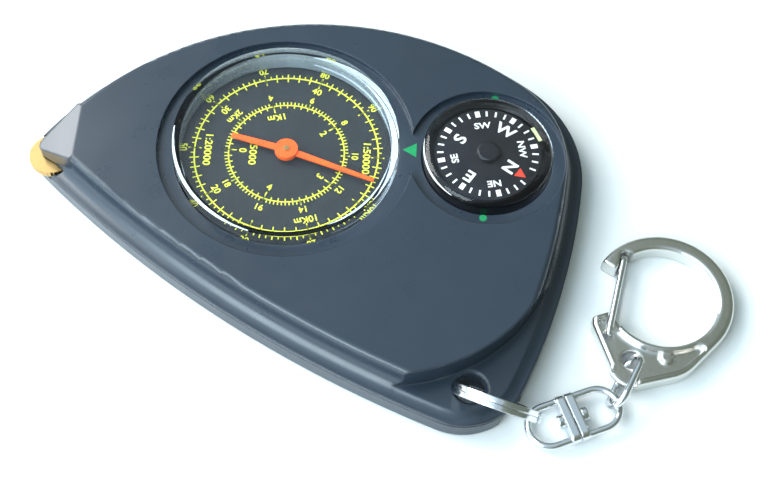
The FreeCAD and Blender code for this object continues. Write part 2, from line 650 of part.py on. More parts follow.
def make_upper_shell():
    """Top cover: thin lip, cove, crowned edge, tip facet, lanyard step and the two round recesses."""
    body = new_body("upper_shell")
    lip = new_sketch(body, "XY_Plane", "parting_height")
    case_outline(lip, "0")
    pad(body, lip, "lip_thickness")
    block = new_sketch(body, "XY_Plane", "parting_height")
    case_outline(block, "flare_width")
    top = pad(body, block, "case_height - parting_height")
    lip_top = value("parting_height + lip_thickness")

    inner_radii = [value(r) for r in ("near_side_radius - flare_width", "right_side_radius - flare_width",
                                      "far_side_radius - flare_width", "lanyard_corner_radius - flare_width",
                                      "compass_corner_radius - flare_width", "tip_radius - flare_width")]

    def foot(edge):
        return level(edge, lip_top) and any(curved(edge, radius) for radius in inner_radii)

    cove = dress(body, "Fillet", top, foot, "flare_width - lip_land")
    dress(body, "Fillet", cove, lambda edge: level(edge, value("case_height")), "top_edge_radius")
    nose = [("facet_x - nose_root_radius", "nose_far_y", "nose_root_radius"),
            ("nose_x", "nose_y", "nose_radius"),
            ("facet_x - nose_root_radius", "nose_near_y", "nose_root_radius")]
    belt_pad(body, nose, "wheel_top + wheel_gap", "case_height")
    facet = new_sketch(body, "XZ_Plane", "far_side_radius")
    end = "(wheel_x - slot_radius - overrun)"
    drop = "(facet_x - %s) * tan(facet_angle * 1 deg)" % end
    draw_polygon(facet, [("facet_x", "case_height"), ("facet_x", "case_height + overrun"),
                         (end, "case_height + overrun"), (end, "case_height - " + drop)])
    cut(body, facet, "2 * far_side_radius", False)
    step = new_sketch(body, "XY_Plane", "corner_floor")
    draw_step(step)
    cut(body, step, "case_height", True)
    room = new_sketch(body, "XY_Plane", "parting_height - overrun")
    cavity_outline(room, "flare_width + upper_wall", "cavity_tip_radius")
    cut(body, room, "overrun + roof_bottom - parting_height", True)
    inside = "roof_bottom + roof_thickness / 2"
    disc_pad(body, [("0", "0", "dial_recess_radius + ledge_border")], "ledge_bottom", inside)
    disc_pad(body, [("compass_x", "0", "compass_recess_radius")], "ledge_bottom", inside)
    tubes = [(x, y, "screw_core + screw_wall") for x, y in SCREW_SPOTS]
    disc_pad(body, tubes, "parting_height", inside)
    disc_cut(body, [("0", "0", "dial_recess_radius")], "recess_floor", "case_height + overrun")
    disc_cut(body, [("compass_x", "0", "compass_recess_radius")], "recess_floor", "case_height + overrun")
    windows = [("0", "0", "crystal_radius + window_clearance"),
               ("compass_x", "0", "capsule_radius + window_clearance")]
    disc_cut(body, windows, "parting_height", "case_height + overrun")
    pilots = [(x, y, "screw_core") for x, y in SCREW_SPOTS]
    disc_cut(body, pilots, "parting_height - overrun", "screw_sink + screw_head_height + screw_length")
    wheel = ("wheel_x", "wheel_y")
    disc_cut(body, [wheel + ("slot_radius",)], "parting_height - overrun", "wheel_top + wheel_gap")
    seat = "wheel_top + wheel_gap + axle_seat"
    disc_cut(body, [wheel + ("axle_radius + running_clearance",)], "wheel_top", seat)
    hole = disc_cut(body, [("hole_x", "hole_y", "hole_radius")], "parting_height - overrun", "case_height")
    dress(body, "Chamfer", hole, hole_mouth("corner_floor"), "hole_chamfer")
    return body


def draw_step(sketch):
    """Region outside the curved step, closed far outside the case."""
    x, y, radius = value("step_x"), value("step_y"), value("step_radius")
    first, last = math.radians(value("step_first_angle")), math.radians(value("step_last_angle"))
    run = value("step_run_out")
    reach = 2 * radius

    def spot(angle, distance):
        return Vector(x + distance * math.cos(angle), y + distance * math.sin(angle), 0)

    begin = spot(first, radius)
    end = spot(last, radius)
    start_out = begin + Vector(math.sin(first), -math.cos(first), 0) * run
    end_out = end + Vector(-math.sin(last), math.cos(last), 0) * run
    circle = Part.Circle(Vector(x, y, 0), Vector(0, 0, 1), radius)
    sketch.addGeometry(Part.ArcOfCircle(circle, first, last))
    corners = [end, end_out, end_out + Vector(reach, 0, 0), Vector(end_out.x + reach, begin.y - reach, 0),
               Vector(start_out.x, begin.y - reach, 0), start_out, begin]
    for here, there in zip(corners, corners[1:]):
        sketch.addGeometry(Part.LineSegment(here, there))


def make_case_screws():
    """Four pan-headed screws driven in from the rear."""
    body = new_body("case_screws")
    head = "screw_sink + screw_head_height"
    disc_pad(body, [(x, y, "screw_head_radius") for x, y in SCREW_SPOTS], "screw_sink", head)
    disc_pad(body, [(x, y, "screw_core") for x, y in SCREW_SPOTS], head, head + " + screw_length")
    return body


# Windows and dial

def make_dial_crystal():
    """Flat clear pane with a straight side wall and a flange under the ledge."""
    body = new_body("dial_crystal")
    top = "case_height + crystal_proud"
    inner = "crystal_radius - crystal_skirt"
    revolve(body, [(inner, "plate_top"), ("crystal_radius + crystal_flange", "plate_top"),
                   ("crystal_radius + crystal_flange", "plate_top + flange_thickness"),
                   ("crystal_radius", "plate_top + flange_thickness"), ("crystal_radius", top), ("0", top),
                   ("0", top + " - crystal_thickness"), (inner, top + " - crystal_thickness")])
    return body


def make_dial_plate():
    """Thin printed disc with a hole for the pointer's arbor."""
    body = new_body("dial_plate")
    disc_pad(body, [("0", "0", "crystal_radius - plate_margin")], "plate_bottom", "plate_top")
    disc_cut(body, [("0", "0", "2 * bore_radius")], "plate_bottom - overrun", "plate_top + overrun")
    return body


def make_gear_bridge():
    """Thin plate under the dial with a tongue over the first gear, holding the pins' upper ends."""
    body = new_body("gear_bridge")
    disc_pad(body, [("0", "0", "crystal_radius + bridge_margin")], "bridge_bottom", "plate_bottom")
    belt_pad(body, [("gear_2_x", "gear_2_y", "bridge_tongue"), ("gear_1_x", "gear_1_y", "bridge_tongue")],
             "bridge_bottom", "plate_bottom")
    holes = [("gear_1_x", "gear_1_y", "pin_radius"), ("gear_2_x", "gear_2_y", "pin_radius"),
             ("0", "0", "bore_radius")]
    disc_cut(body, holes, "bridge_bottom - overrun", "plate_bottom + overrun")
    return body


def make_gear_pins():
    """Fixed pins of the two reduction gears, from the floor to the bridge."""
    body = new_body("gear_pins")
    pins = [("gear_1_x", "gear_1_y", "pin_radius"), ("gear_2_x", "gear_2_y", "pin_radius")]
    disc_pad(body, pins, "pin_bottom", "pin_top")
    return body


def make_pointer_hand():
    """Two tapered arms on a round hub."""
    body = new_body("pointer_hand")
    bottom = "plate_top + hand_lift"
    middle = bottom + " + hand_hub_height / 2"
    arms = new_sketch(body, "XY_Plane", middle + " - hand_thickness / 2")
    long_way = "(hand_angle * 1 deg)"
    short_way = "((hand_angle + hand_bend) * 1 deg)"
    corners = [("hand_long", "-hand_long_end / 2", long_way), ("hand_long", "hand_long_end / 2", long_way),
               ("0", "hand_root / 2", long_way), ("-hand_short", "hand_short_end / 2", short_way),
               ("-hand_short", "-hand_short_end / 2", short_way), ("0", "-hand_root / 2", long_way)]
    turned = []
    for along, aside, way in corners:
        turned.append(("({0}) * cos{2} - ({1}) * sin{2}".format(along, aside, way),
                       "({0}) * sin{2} + ({1}) * cos{2}".format(along, aside, way)))
    draw_polygon(arms, turned)
    pad(body, arms, "hand_thickness")
    top = bottom + " + hand_hub_height"
    disc_pad(body, [("0", "0", "hand_hub_radius")], bottom, top)
    disc_cut(body, [("0", "0", "pin_radius")], bottom + " - overrun", top + " + overrun")
    return body


def make_pointer_arbor():
    rod = cylinder("pointer_arbor", "pin_radius", "pin_bottom + gear_play / 2",
                   "plate_top + hand_lift + hand_hub_height + arbor_proud")
    return rod


# Wheel and gears

def make_measuring_wheel():
    """Disc with shallow round notches all round its rim."""
    body = new_body("measuring_wheel")
    disc_pad(body, [("wheel_x", "wheel_y", "wheel_radius")], "wheel_bottom", "wheel_top")
    disc_cut(body, [("wheel_x", "wheel_y", "axle_radius")], "wheel_bottom - overrun", "wheel_top + overrun")
    notch = new_sketch(body, "XY_Plane", "wheel_bottom")
    bind(notch, "AttachmentOffset.Base.x", "wheel_x")
    bind(notch, "AttachmentOffset.Base.y", "wheel_y")
    draw_circle(notch, "-wheel_radius - wheel_notch", "0", "2 * wheel_notch")
    pocket = cut(body, notch, "wheel_thickness", True)
    pattern = body.newObject("PartDesign::PolarPattern", "PolarPattern")
    pattern.Originals = [pocket]
    pattern.Axis = (notch, ["N_Axis"])
    pattern.Angle = 360
    bind(pattern, "Occurrences", "wheel_teeth")
    body.Tip = pattern
    doc.recompute()
    return body


def make_wheel_axle():
    bottom = "pin_bottom + gear_play / 2"
    top = "wheel_top + wheel_gap + axle_seat - gear_play / 2"
    return cylinder("wheel_axle", "axle_radius", bottom, top, "wheel_x", "wheel_y")


PRESSURE_ANGLE = math.radians(20)
FLANK_STEPS = 4


def involute(angle):
    return math.tan(angle) - angle


def gear_profile(teeth, module, phase, x, y, tip_share, root_share):
    """Closed wire of an involute gear: radial below the base circle, thinned for backlash."""
    pitch = module * teeth / 2
    base = pitch * math.cos(PRESSURE_ANGLE)
    tip = pitch + tip_share * module
    root = pitch - root_share * module
    play = value("gear_backlash") / (4 * pitch)

    def half_tooth(radius):
        contact = math.acos(min(1.0, base / radius))
        return math.pi / (2 * teeth) - play + involute(PRESSURE_ANGLE) - involute(contact)

    start = max(base, root)
    radii = [start + (tip - start) * step / FLANK_STEPS for step in range(FLANK_STEPS + 1)]
    if root < base:
        radii.insert(0, root)
    points = []
    for tooth in range(teeth):
        middle = phase + 2 * math.pi * tooth / teeth
        left = [(middle - half_tooth(max(r, base)), r) for r in radii]
        right = [(middle + half_tooth(max(r, base)), r) for r in reversed(radii)]
        points += [Vector(x + r * math.cos(a), y + r * math.sin(a), 0) for a, r in left + right]
    return Part.makePolygon(points + [points[0]])


def toothed_disc(teeth, module, phase, x, y, bottom, thickness, shares):
    wire = gear_profile(teeth, module, phase, x, y, *shares)
    wire.translate(Vector(0, 0, bottom))
    return Part.Face(wire).extrude(Vector(0, 0, thickness))


def round_bar(x, y, radius, bottom, top):
    return Part.makeCylinder(radius, top - bottom, Vector(x, y, bottom))


def shape_feature(name, shape):
    feature = doc.addObject("Part::Feature", name)
    feature.Label = name
    feature.Shape = shape
    return feature


GEAR_SHARES = (0.85, 1.15)
FINE_PINION_SHARES = (0.9, 1.1)


def mesh_phase(driver_phase, driver_teeth, driven_teeth, direction):
    """Phase of a driven gear whose gap meets the driver's tooth along the line of centres."""
    offset = (direction - driver_phase) * driver_teeth / driven_teeth
    return direction + math.pi + offset + math.pi / driven_teeth


TOOTH_COUNTS = ("wheel_pinion_teeth", "first_gear_teeth", "first_pinion_teeth",
                "second_gear_teeth", "second_pinion_teeth", "pointer_gear_teeth")


def gear_layout():
    """Centres and phases of the train, from the wheel to the pointer."""
    spots = {"wheel": (value("wheel_x"), value("wheel_y")), "first": (value("gear_1_x"), value("gear_1_y")),
             "second": (value("gear_2_x"), value("gear_2_y")), "pointer": (0.0, 0.0)}
    teeth = {name: int(value(name)) for name in TOOTH_COUNTS}

    def heading(start, end):
        return math.atan2(spots[end][1] - spots[start][1], spots[end][0] - spots[start][0])

    phases = {}
    for number, (start, end) in enumerate([("wheel", "first"), ("first", "second"), ("second", "pointer")]):
        driver, driven = TOOTH_COUNTS[2 * number], TOOTH_COUNTS[2 * number + 1]
        phases[end] = mesh_phase(0, teeth[driver], teeth[driven], heading(start, end))
    return spots, teeth, phases


def make_wheel_pinion():
    """Small pinion on the wheel's axle, under the wheel."""
    spots, teeth, phases = gear_layout()
    x, y = spots["wheel"]
    bottom = value("storey_1")
    disc = toothed_disc(teeth["wheel_pinion_teeth"], value("fine_module"), 0, x, y, bottom,
                        value("wheel_bottom") - bottom, FINE_PINION_SHARES)
    bore = round_bar(x, y, value("axle_radius"), 0, value("case_height"))
    return shape_feature("wheel_pinion", disc.cut(bore))


def make_reduction_gear(name, spot, gear_teeth, pinion_teeth, gear_module, pinion_module, storey):
    """Gear with the next pinion above it on one bored sleeve."""
    spots, teeth, phases = gear_layout()
    x, y = spots[spot]
    bottom = value(storey)
    thickness = value("gear_thickness")
    above = bottom + value("gear_storey")
    gear = toothed_disc(teeth[gear_teeth], gear_module, phases[spot], x, y, bottom, thickness, GEAR_SHARES)
    pinion = toothed_disc(teeth[pinion_teeth], pinion_module, 0, x, y, above, thickness, GEAR_SHARES)
    sleeve = round_bar(x, y, value("sleeve_radius"), bottom, value("sleeve_top"))
    whole = gear.fuse([pinion, sleeve]).removeSplitter()
    return shape_feature(name, whole.cut(round_bar(x, y, value("bore_radius"), 0, value("case_height"))))


def make_pointer_gear():
    """Gear fixed on the pointer's arbor, with a sleeve up to the bridge."""
    spots, teeth, phases = gear_layout()
    bottom = value("storey_3")
    gear = toothed_disc(teeth["pointer_gear_teeth"], value("last_module"), phases["pointer"], 0, 0, bottom,
                        value("gear_thickness"), GEAR_SHARES)
    sleeve = round_bar(0, 0, value("sleeve_radius"), value("storey_2"), bottom + value("gear_thickness"))
    bore = round_bar(0, 0, value("pin_radius"), 0, value("case_height"))
    return shape_feature("pointer_gear", gear.fuse(sleeve).cut(bore))


# Compass

def draw_dome(sketch, radius, edge, crown, bottom, shoulder):
    """Half outline of a domed cylinder: side, rounded shoulder, shallow dome, axis and base."""
    r, e, c = value(radius), value(edge), value(crown)
    low, side = value(bottom), value(shoulder)
    sphere = ((r - e) ** 2 + c ** 2 - e ** 2) / (2 * (c - e))
    centre = side + c - sphere
    lean = math.atan2(side - centre, r - e)
    upright = Vector(0, 0, 1)
    meet = Vector(sphere * math.cos(lean), centre + sphere * math.sin(lean), 0)
    top = Vector(0, centre + sphere, 0)
    corner = Part.Circle(Vector(r - e, side, 0), upright, e)
    dome = Part.Circle(Vector(0, centre, 0), upright, sphere)
    sketch.addGeometry(Part.LineSegment(Vector(0, low, 0), Vector(r, low, 0)))
    sketch.addGeometry(Part.LineSegment(Vector(r, low, 0), Vector(r, side, 0)))
    sketch.addGeometry(Part.ArcOfCircle(corner, 0, lean))
    sketch.addGeometry(Part.ArcOfCircle(dome, lean, math.pi / 2))
    sketch.addGeometry(Part.LineSegment(top, Vector(0, low, 0)))
    base, wall, rounding, cap, axis = range(5)
    sketch.addConstraint(Sketcher.Constraint("Coincident", base, 2, wall, 1))
    sketch.addConstraint(Sketcher.Constraint("Tangent", wall, 2, rounding, 1))
    sketch.addConstraint(Sketcher.Constraint("Tangent", rounding, 2, cap, 1))
    sketch.addConstraint(Sketcher.Constraint("Coincident", cap, 2, axis, 1))
    sketch.addConstraint(Sketcher.Constraint("Coincident", axis, 2, base, 1))
    sketch.addConstraint(Sketcher.Constraint("Horizontal", base))
    sketch.addConstraint(Sketcher.Constraint("Vertical", wall))
    sketch.addConstraint(Sketcher.Constraint("PointOnObject", cap, 3, -2))
    hold_point(sketch, base, 1, "0", bottom)
    hold(sketch, "DistanceX", radius, -1, 1, wall, 1)
    hold(sketch, "Radius", edge, rounding)
    hold(sketch, "DistanceY", shoulder, -1, 1, wall, 2)
    hold_point(sketch, cap, 2, "0", "(%s) + (%s)" % (shoulder, crown))


def at_compass(body):
    bind(body, "Placement.Base.x", "compass_x")
    return body


def make_compass_dome():
    """Clear domed capsule with a flange under the ledge."""
    body = new_body("compass_dome")
    shoulder = "recess_floor + capsule_shoulder"
    foot = "capsule_flange_bottom"
    outer = new_sketch(body, "XZ_Plane", "0")
    draw_dome(outer, "capsule_radius", "capsule_edge_radius", "capsule_crown", foot, shoulder)
    spin(body, outer, "Revolution")
    disc_pad(body, [("0", "0", "capsule_radius + capsule_flange")], foot, "ledge_bottom")
    inner = new_sketch(body, "XZ_Plane", "0")
    draw_dome(inner, "capsule_radius - capsule_wall", "capsule_edge_radius - capsule_wall",
              "capsule_crown - capsule_wall", foot, shoulder)
    spin(body, inner, "Groove")
    return at_compass(body)


def make_compass_base():
    """Black cup under the capsule with a seat for the pivot needle."""
    body = new_body("compass_base")
    rim = "capsule_radius + capsule_flange"
    disc_pad(body, [("0", "0", rim)], "capsule_base_bottom", "capsule_flange_bottom")
    floor = "capsule_base_bottom + capsule_base_floor"
    disc_cut(body, [("0", "0", "capsule_radius - capsule_wall")], floor, "capsule_flange_bottom + overrun")
    seat = "capsule_base_bottom + capsule_base_floor / 2"
    disc_cut(body, [("0", "0", "needle_radius")], seat, floor + " + overrun")
    return at_compass(body)


def make_compass_card():
    """Thin printed disc with a domed boss over its bearing."""
    body = new_body("compass_card")
    disc_pad(body, [("0", "0", "card_radius")], "card_bottom", "card_top")
    top = "card_top + card_hub_height"
    boss = disc_pad(body, [("0", "0", "card_hub_radius")], "card_bottom + card_thickness / 2", top)
    dress(body, "Fillet", boss, lambda edge: level(edge, value(top)), "card_hub_height / 2")
    disc_cut(body, [("0", "0", "jewel_radius")], "card_bottom - overrun", "jewel_bottom + jewel_height")
    return at_compass(body)


def make_compass_magnet():
    """Flat ring magnet glued under the card."""
    body = new_body("compass_magnet")
    bottom = "card_bottom - magnet_thickness"
    disc_pad(body, [("0", "0", "magnet_radius")], bottom, "card_bottom")
    disc_cut(body, [("0", "0", "magnet_bore")], bottom + " - overrun", "card_bottom + overrun")
    return at_compass(body)


def make_compass_jewel():
    """Small bearing with a conical cup that sits on the needle."""
    body = new_body("compass_jewel")
    top = "jewel_bottom + jewel_height"
    revolve(body, [("jewel_cup", "jewel_bottom"), ("jewel_radius", "jewel_bottom"), ("jewel_radius", top),
                   ("0", top), ("0", "jewel_bottom + jewel_cup")])
    return at_compass(body)


def make_compass_pivot():
    """Pointed needle on which the card turns."""
    body = new_body("compass_pivot")
    foot = "capsule_base_bottom + capsule_base_floor / 2"
    tip = "jewel_bottom + jewel_cup - running_clearance"
    revolve(body, [("0", foot), ("needle_radius", foot),
                   ("needle_radius", tip + " - needle_point"), ("0", tip)])
    return at_compass(body)


# Chain

STEP_SECTIONS = 6


def make_split_ring():
    """Flat strip wound in two turns with a step from one to the other."""
    inner = value("ring_radius - ring_band")
    band, width = value("ring_band"), value("ring_turn_width")
    rise = width + value("ring_turn_gap")
    step = value("ring_crossover")
    gap = value("ring_end_gap")
    bottom = -value("ring_width") / 2
    upright = Vector(0, 0, 1)

    def strip_end(height, angle):
        corners = [Vector(inner, 0, height), Vector(inner + band, 0, height),
                   Vector(inner + band, 0, height + width), Vector(inner, 0, height + width)]
        wire = Part.makePolygon(corners + [corners[0]])
        wire.rotate(Vector(), upright, angle)
        return wire

    first = Part.Face(strip_end(bottom, gap)).revolve(Vector(), upright, 360 - step - gap)
    second = Part.Face(strip_end(bottom + rise, 0)).revolve(Vector(), upright, 360 - step - gap)
    sections = []
    for index in range(STEP_SECTIONS + 1):
        share = index / STEP_SECTIONS
        climb = rise * (1 - math.cos(math.pi * share)) / 2
        sections.append(strip_end(bottom + climb, step * share))
    crossing_strip = Part.makeLoft(sections, True, False)
    crossing_strip.rotate(Vector(), upright, 360 - step)
    ring = first.fuse([second, crossing_strip]).Solids[0]
    ring.rotate(Vector(), upright, value("ring_start"))
    feature = shape_feature("split_ring", ring)
    heading, lean = math.radians(value("ring_heading")), math.radians(value("ring_lean"))
    level_way = Vector(math.cos(heading), math.sin(heading), 0)
    aside = Vector(-math.sin(heading), math.cos(heading), 0)
    upward = upright * math.cos(lean) - aside * math.sin(lean)
    turn = Rotation(level_way, upward, level_way.cross(upward), "XYZ")
    feature.Placement = Placement(Vector(value("ring_x"), value("ring_y"), value("ring_z")), turn)
    return feature


def swivel_placement():
    """Frame of the swivel: origin at the near bow's outer end, X along the swivel."""
    slope = math.asin(value("(swivel_fall - swivel_rise) / swivel_span"))
    heading = math.radians(value("swivel_heading"))
    along = Vector(math.cos(slope) * math.cos(heading), math.cos(slope) * math.sin(heading), math.sin(slope))
    aside = Vector(-math.sin(heading), math.cos(heading), 0)
    turn = Rotation(along, aside, along.cross(aside), "XYZ")
    bow = Vector(value("bow_x"), value("bow_y"), value("swivel_rise"))
    return Placement(bow - along * value("stirrup_wire / 2"), turn)


def pipe(body, path, profile):
    """Round wire drawn along a path."""
    feature = body.newObject("PartDesign::AdditivePipe", "Pipe")
    feature.Profile = profile
    feature.Spine = path
    doc.recompute()
    return feature


def make_stirrup(name, collar_start, bend, way, bore):
    """Bow of round wire, opening towards its end plate, which is bored for the rivet.

    The bend is the middle of the bow's half circle, and way is 1 where the bow lies beyond it.
    """
    body = new_body(name)
    side = "%d * (swivel_width - stirrup_wire) / 2" % -way
    bow = new_sketch(body, "YZ_Plane", bend)
    draw_circle(bow, side, "0", "stirrup_wire / 2")
    half_ring = spin(body, bow, "Revolution")
    half_ring.Angle = 180
    low, high = (collar_start + " + collar_thickness / 2", bend) if way > 0 else (
        bend, collar_start + " + collar_thickness / 2")
    legs = new_sketch(body, "YZ_Plane", low)
    draw_circle(legs, side, "0", "stirrup_wire / 2")
    draw_circle(legs, "-(%s)" % side, "0", "stirrup_wire / 2")
    pad(body, legs, "(%s) - (%s)" % (high, low))
    plate = new_sketch(body, "YZ_Plane", collar_start)
    half = "collar_height / 2"
    aside = "(swivel_width / 2 + collar_overhang - collar_height / 2)"
    draw_belt(plate, [("-" + aside, "0", half), (aside, "0", half)])
    pad(body, plate, "collar_thickness")
    hole = new_sketch(body, "YZ_Plane", "%s - overrun / 2" % collar_start)
    draw_circle(hole, "0", "0", bore)
    cut(body, hole, "collar_thickness + overrun", True)
    body.Placement = swivel_placement()
    return body


def make_swivel_rivet():
    """Headed pin through both end plates."""
    body = new_body("swivel_rivet")
    far = "near_collar + 2 * collar_thickness + collar_gap + running_clearance"
    middle = "rivet_head_length / 2"
    for start, end, radius in [("near_collar - rivet_head_length", "near_collar", "rivet_head_radius"),
                               ("near_collar - " + middle, far + " + " + middle, "rivet_radius"),
                               (far, far + " + rivet_head_length", "rivet_head_radius")]:
        sketch = new_sketch(body, "YZ_Plane", start)
        draw_circle(sketch, "0", "0", radius)
        pad(body, sketch, "(%s) - (%s)" % (end, start))
    body.Placement = swivel_placement()
    return body


def draw_oval(sketch, straight, bend):
    """Closed path of two straight sides and two half circles."""
    draw_belt(sketch, [("(%s) / 2" % straight, "0", bend), ("-(%s) / 2" % straight, "0", bend)])


def make_jump_ring():
    """Oval link of round wire."""
    body = new_body("jump_ring")
    path = new_sketch(body, "XY_Plane", "0")
    draw_oval(path, "link_straight", "link_bend")
    profile = new_sketch(body, "YZ_Plane", "0")
    draw_circle(profile, "-link_bend", "0", "link_wire / 2")
    pipe(body, path, profile)
    heading, lean = math.radians(value("link_heading")), math.radians(value("link_lean"))
    along = Vector(math.cos(heading), math.sin(heading), 0)
    aside = Vector(math.sin(heading) * math.cos(lean), -math.cos(heading) * math.cos(lean), math.sin(lean))
    height = value("link_bend") * math.sin(lean) + value("link_wire") / 2
    turn = Rotation(along, aside, along.cross(aside), "XYZ")
    body.Placement = Placement(Vector(value("link_x"), value("link_y"), height), turn)
    return body


def make_clip_body():
    """Flat snap clip: round loop with a mouth, thin web with the eye, raised rim."""
    body = new_body("clip_body")
    outer = ("clip_x", "clip_y", "clip_outer_radius")
    solid = belt_pad(body, [outer, ("shoulder_x", "shoulder_y", "shoulder_radius"),
                            ("heel_x", "heel_y", "heel_radius"), ("belly_x", "belly_y", "belly_radius")],
                     "0", "clip_height")

    def flat_face(edge):
        return level(edge, 0) or level(edge, value("clip_height"))

    dress(body, "Fillet", solid, flat_face, "clip_edge")
    recess = [("heel_x", "heel_y", "heel_radius - rim_width"),
              ("belly_x", "belly_y", "belly_radius - rim_width"),
              ("web_end_x", "web_end_y", "web_end_radius"),
              ("shoulder_x", "shoulder_y", "shoulder_radius - rim_width")]
    belt_cut(body, recess, "web_top", "clip_height + overrun")
    belt_cut(body, recess, "-overrun", "web_bottom")
    disc_pad(body, [("clip_x", "clip_y", "clip_loop_radius + rim_width")], "0", "clip_height")
    loop = disc_cut(body, [("clip_x", "clip_y", "clip_loop_radius")], "-overrun", "clip_height + overrun")

    def loop_edge(edge):
        return flat_face(edge) and curved(edge, value("clip_loop_radius"))

    dress(body, "Fillet", loop, loop_edge, "loop_edge")
    mouth = new_sketch(body, "XY_Plane", "-overrun")
    far = "(2 * clip_outer_radius)"
    draw_polygon(mouth, [("clip_x", "clip_y")] + [
        ("clip_x + %s * cos(%s * 1 deg)" % (far, angle), "clip_y + %s * sin(%s * 1 deg)" % (far, angle))
        for angle in ("mouth_first", "mouth_last")])
    cut(body, mouth, "clip_height + 2 * overrun", True)

    def along_gate(distance, turned):
        angle = "(gate_heading - (%s)) * 1 deg" % turned
        return ("gate_x + (%s) * cos(%s)" % (distance, angle), "gate_y + (%s) * sin(%s)" % (distance, angle),
                "gate_wire / 2 + gate_clearance")

    swept = [along_gate("gate_length", "gate_opening / 2"), along_gate("gate_length", "0"),
             along_gate("gate_length / 2", "0")]
    belt_cut(body, swept, "-overrun", "clip_height + overrun")
    halfway = "gate_length / 2"
    fan = [along_gate("0", "0"), along_gate(halfway, "gate_opening"), along_gate(halfway, "0")]
    belt_cut(body, fan, "web_top", "clip_height + overrun")
    belt_cut(body, fan, "-overrun", "web_bottom")
    pivot = ("gate_x", "gate_y", "gate_wire / 2 + running_clearance")
    disc_cut(body, [pivot], "-overrun", "clip_height + overrun")
    disc_cut(body, [("eye_x", "eye_y", "eye_radius")], "-overrun", "clip_height + overrun")
    gap = [("eye_x", "eye_y", "eye_gap_radius"),
           ("eye_x + 2 * heel_radius * cos(eye_gap_angle * 1 deg)",
            "eye_y + 2 * heel_radius * sin(eye_gap_angle * 1 deg)", "eye_gap_radius")]
    belt_cut(body, gap, "web_top", "clip_height + overrun")
    belt_cut(body, gap, "-overrun", "web_bottom")
    boss = ("boss_x", "boss_y", "boss_radius")
    disc_pad(body, [boss], "web_top - web_thickness / 2", "web_top + boss_height")
    return body


def make_clip_gate():
    """Wire gate: two legs joined by a bend at the nose, their ends turned into the pivot hole."""
    body = new_body("clip_gate")
    half, corner = "gate_bend", "gate_corner"
    reach = value("gate_length - gate_bend")
    h, c = value(half), value(corner)
    web = value("web_thickness")
    upright = Vector(0, 0, 1)
    quarter = math.pi / 2
    path = new_sketch(body, "XZ_Plane", "0")
    low, high = Part.Circle(Vector(c, c - h, 0), upright, c), Part.Circle(Vector(c, h - c, 0), upright, c)
    path.addGeometry(Part.LineSegment(Vector(0, -web / 4, 0), Vector(0, c - h, 0)))
    path.addGeometry(Part.ArcOfCircle(low, 2 * quarter, 3 * quarter))
    path.addGeometry(Part.LineSegment(Vector(c, -h, 0), Vector(reach, -h, 0)))
    path.addGeometry(Part.ArcOfCircle(Part.Circle(Vector(reach, 0, 0), upright, h), -quarter, quarter))
    path.addGeometry(Part.LineSegment(Vector(reach, h, 0), Vector(c, h, 0)))
    path.addGeometry(Part.ArcOfCircle(high, quarter, 2 * quarter))
    path.addGeometry(Part.LineSegment(Vector(0, h - c, 0), Vector(0, web / 4, 0)))
    for first, first_end, second, second_end in [(0, 2, 1, 1), (1, 2, 2, 1), (2, 2, 3, 1), (3, 2, 4, 1),
                                                 (4, 2, 5, 1), (5, 2, 6, 1)]:
        path.addConstraint(Sketcher.Constraint("Tangent", first, first_end, second, second_end))
    hold_point(path, 0, 1, "0", "-web_thickness / 4")
    hold_point(path, 6, 2, "0", "web_thickness / 4")
    hold_point(path, 3, 3, "gate_length - gate_bend", "0")
    hold(path, "Radius", half, 3)
    hold(path, "Radius", corner, 1)
    hold(path, "Radius", corner, 5)
    profile = new_sketch(body, "XY_Plane", "-web_thickness / 4")
    draw_circle(profile, "0", "0", "gate_wire / 2")
    pipe(body, path, profile)
    turn = Rotation(Vector(0, 0, 1), value("gate_heading"))
    body.Placement = Placement(Vector(value("gate_x"), value("gate_y"), value("clip_height") / 2), turn)
    return body


make_lower_shell()
make_upper_shell()
make_case_screws()
make_dial_crystal()
make_dial_plate()
make_gear_bridge()
make_gear_pins()
make_pointer_hand()
make_pointer_arbor()
make_measuring_wheel()
make_wheel_axle()
make_wheel_pinion()
make_reduction_gear("reduction_gear_1", "first", "first_gear_teeth", "first_pinion_teeth",
                    value("fine_module"), value("coarse_module"), "storey_1")
make_reduction_gear("reduction_gear_2", "second", "second_gear_teeth", "second_pinion_teeth",
                    value("coarse_module"), value("last_module"), "storey_2")
make_pointer_gear()
make_compass_dome()
make_compass_base()
make_compass_card()
make_compass_magnet()
make_compass_jewel()
make_compass_pivot()
make_split_ring()
make_stirrup("swivel_stirrup_near", "near_collar", "swivel_width / 2", -1, "rivet_radius")
make_stirrup("swivel_stirrup_far", "near_collar + collar_thickness + collar_gap",
             "swivel_length - swivel_width / 2", 1, "rivet_radius + running_clearance")
make_swivel_rivet()
make_jump_ring()
make_clip_body()
make_clip_gate()
doc.recompute()

pieces = [thing for thing in doc.Objects
          if thing.TypeId in ("PartDesign::Body", "Part::Cylinder", "Part::Feature")]
for thing in doc.Objects:
    if "Invalid" in thing.State or "Error" in thing.State:
        raise ValueError("%s: %s" % (thing.Label, thing.State))
os.makedirs("parts", exist_ok=True)
for piece in pieces:
    if piece.Shape.isNull() or not piece.Shape.isValid():
        raise ValueError("bad shape: " + piece.Label)
    piece.Shape.exportStep("parts/%s.step" % piece.Label)
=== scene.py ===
import math

import bmesh
import bpy
import numpy as np
from mathutils import Matrix


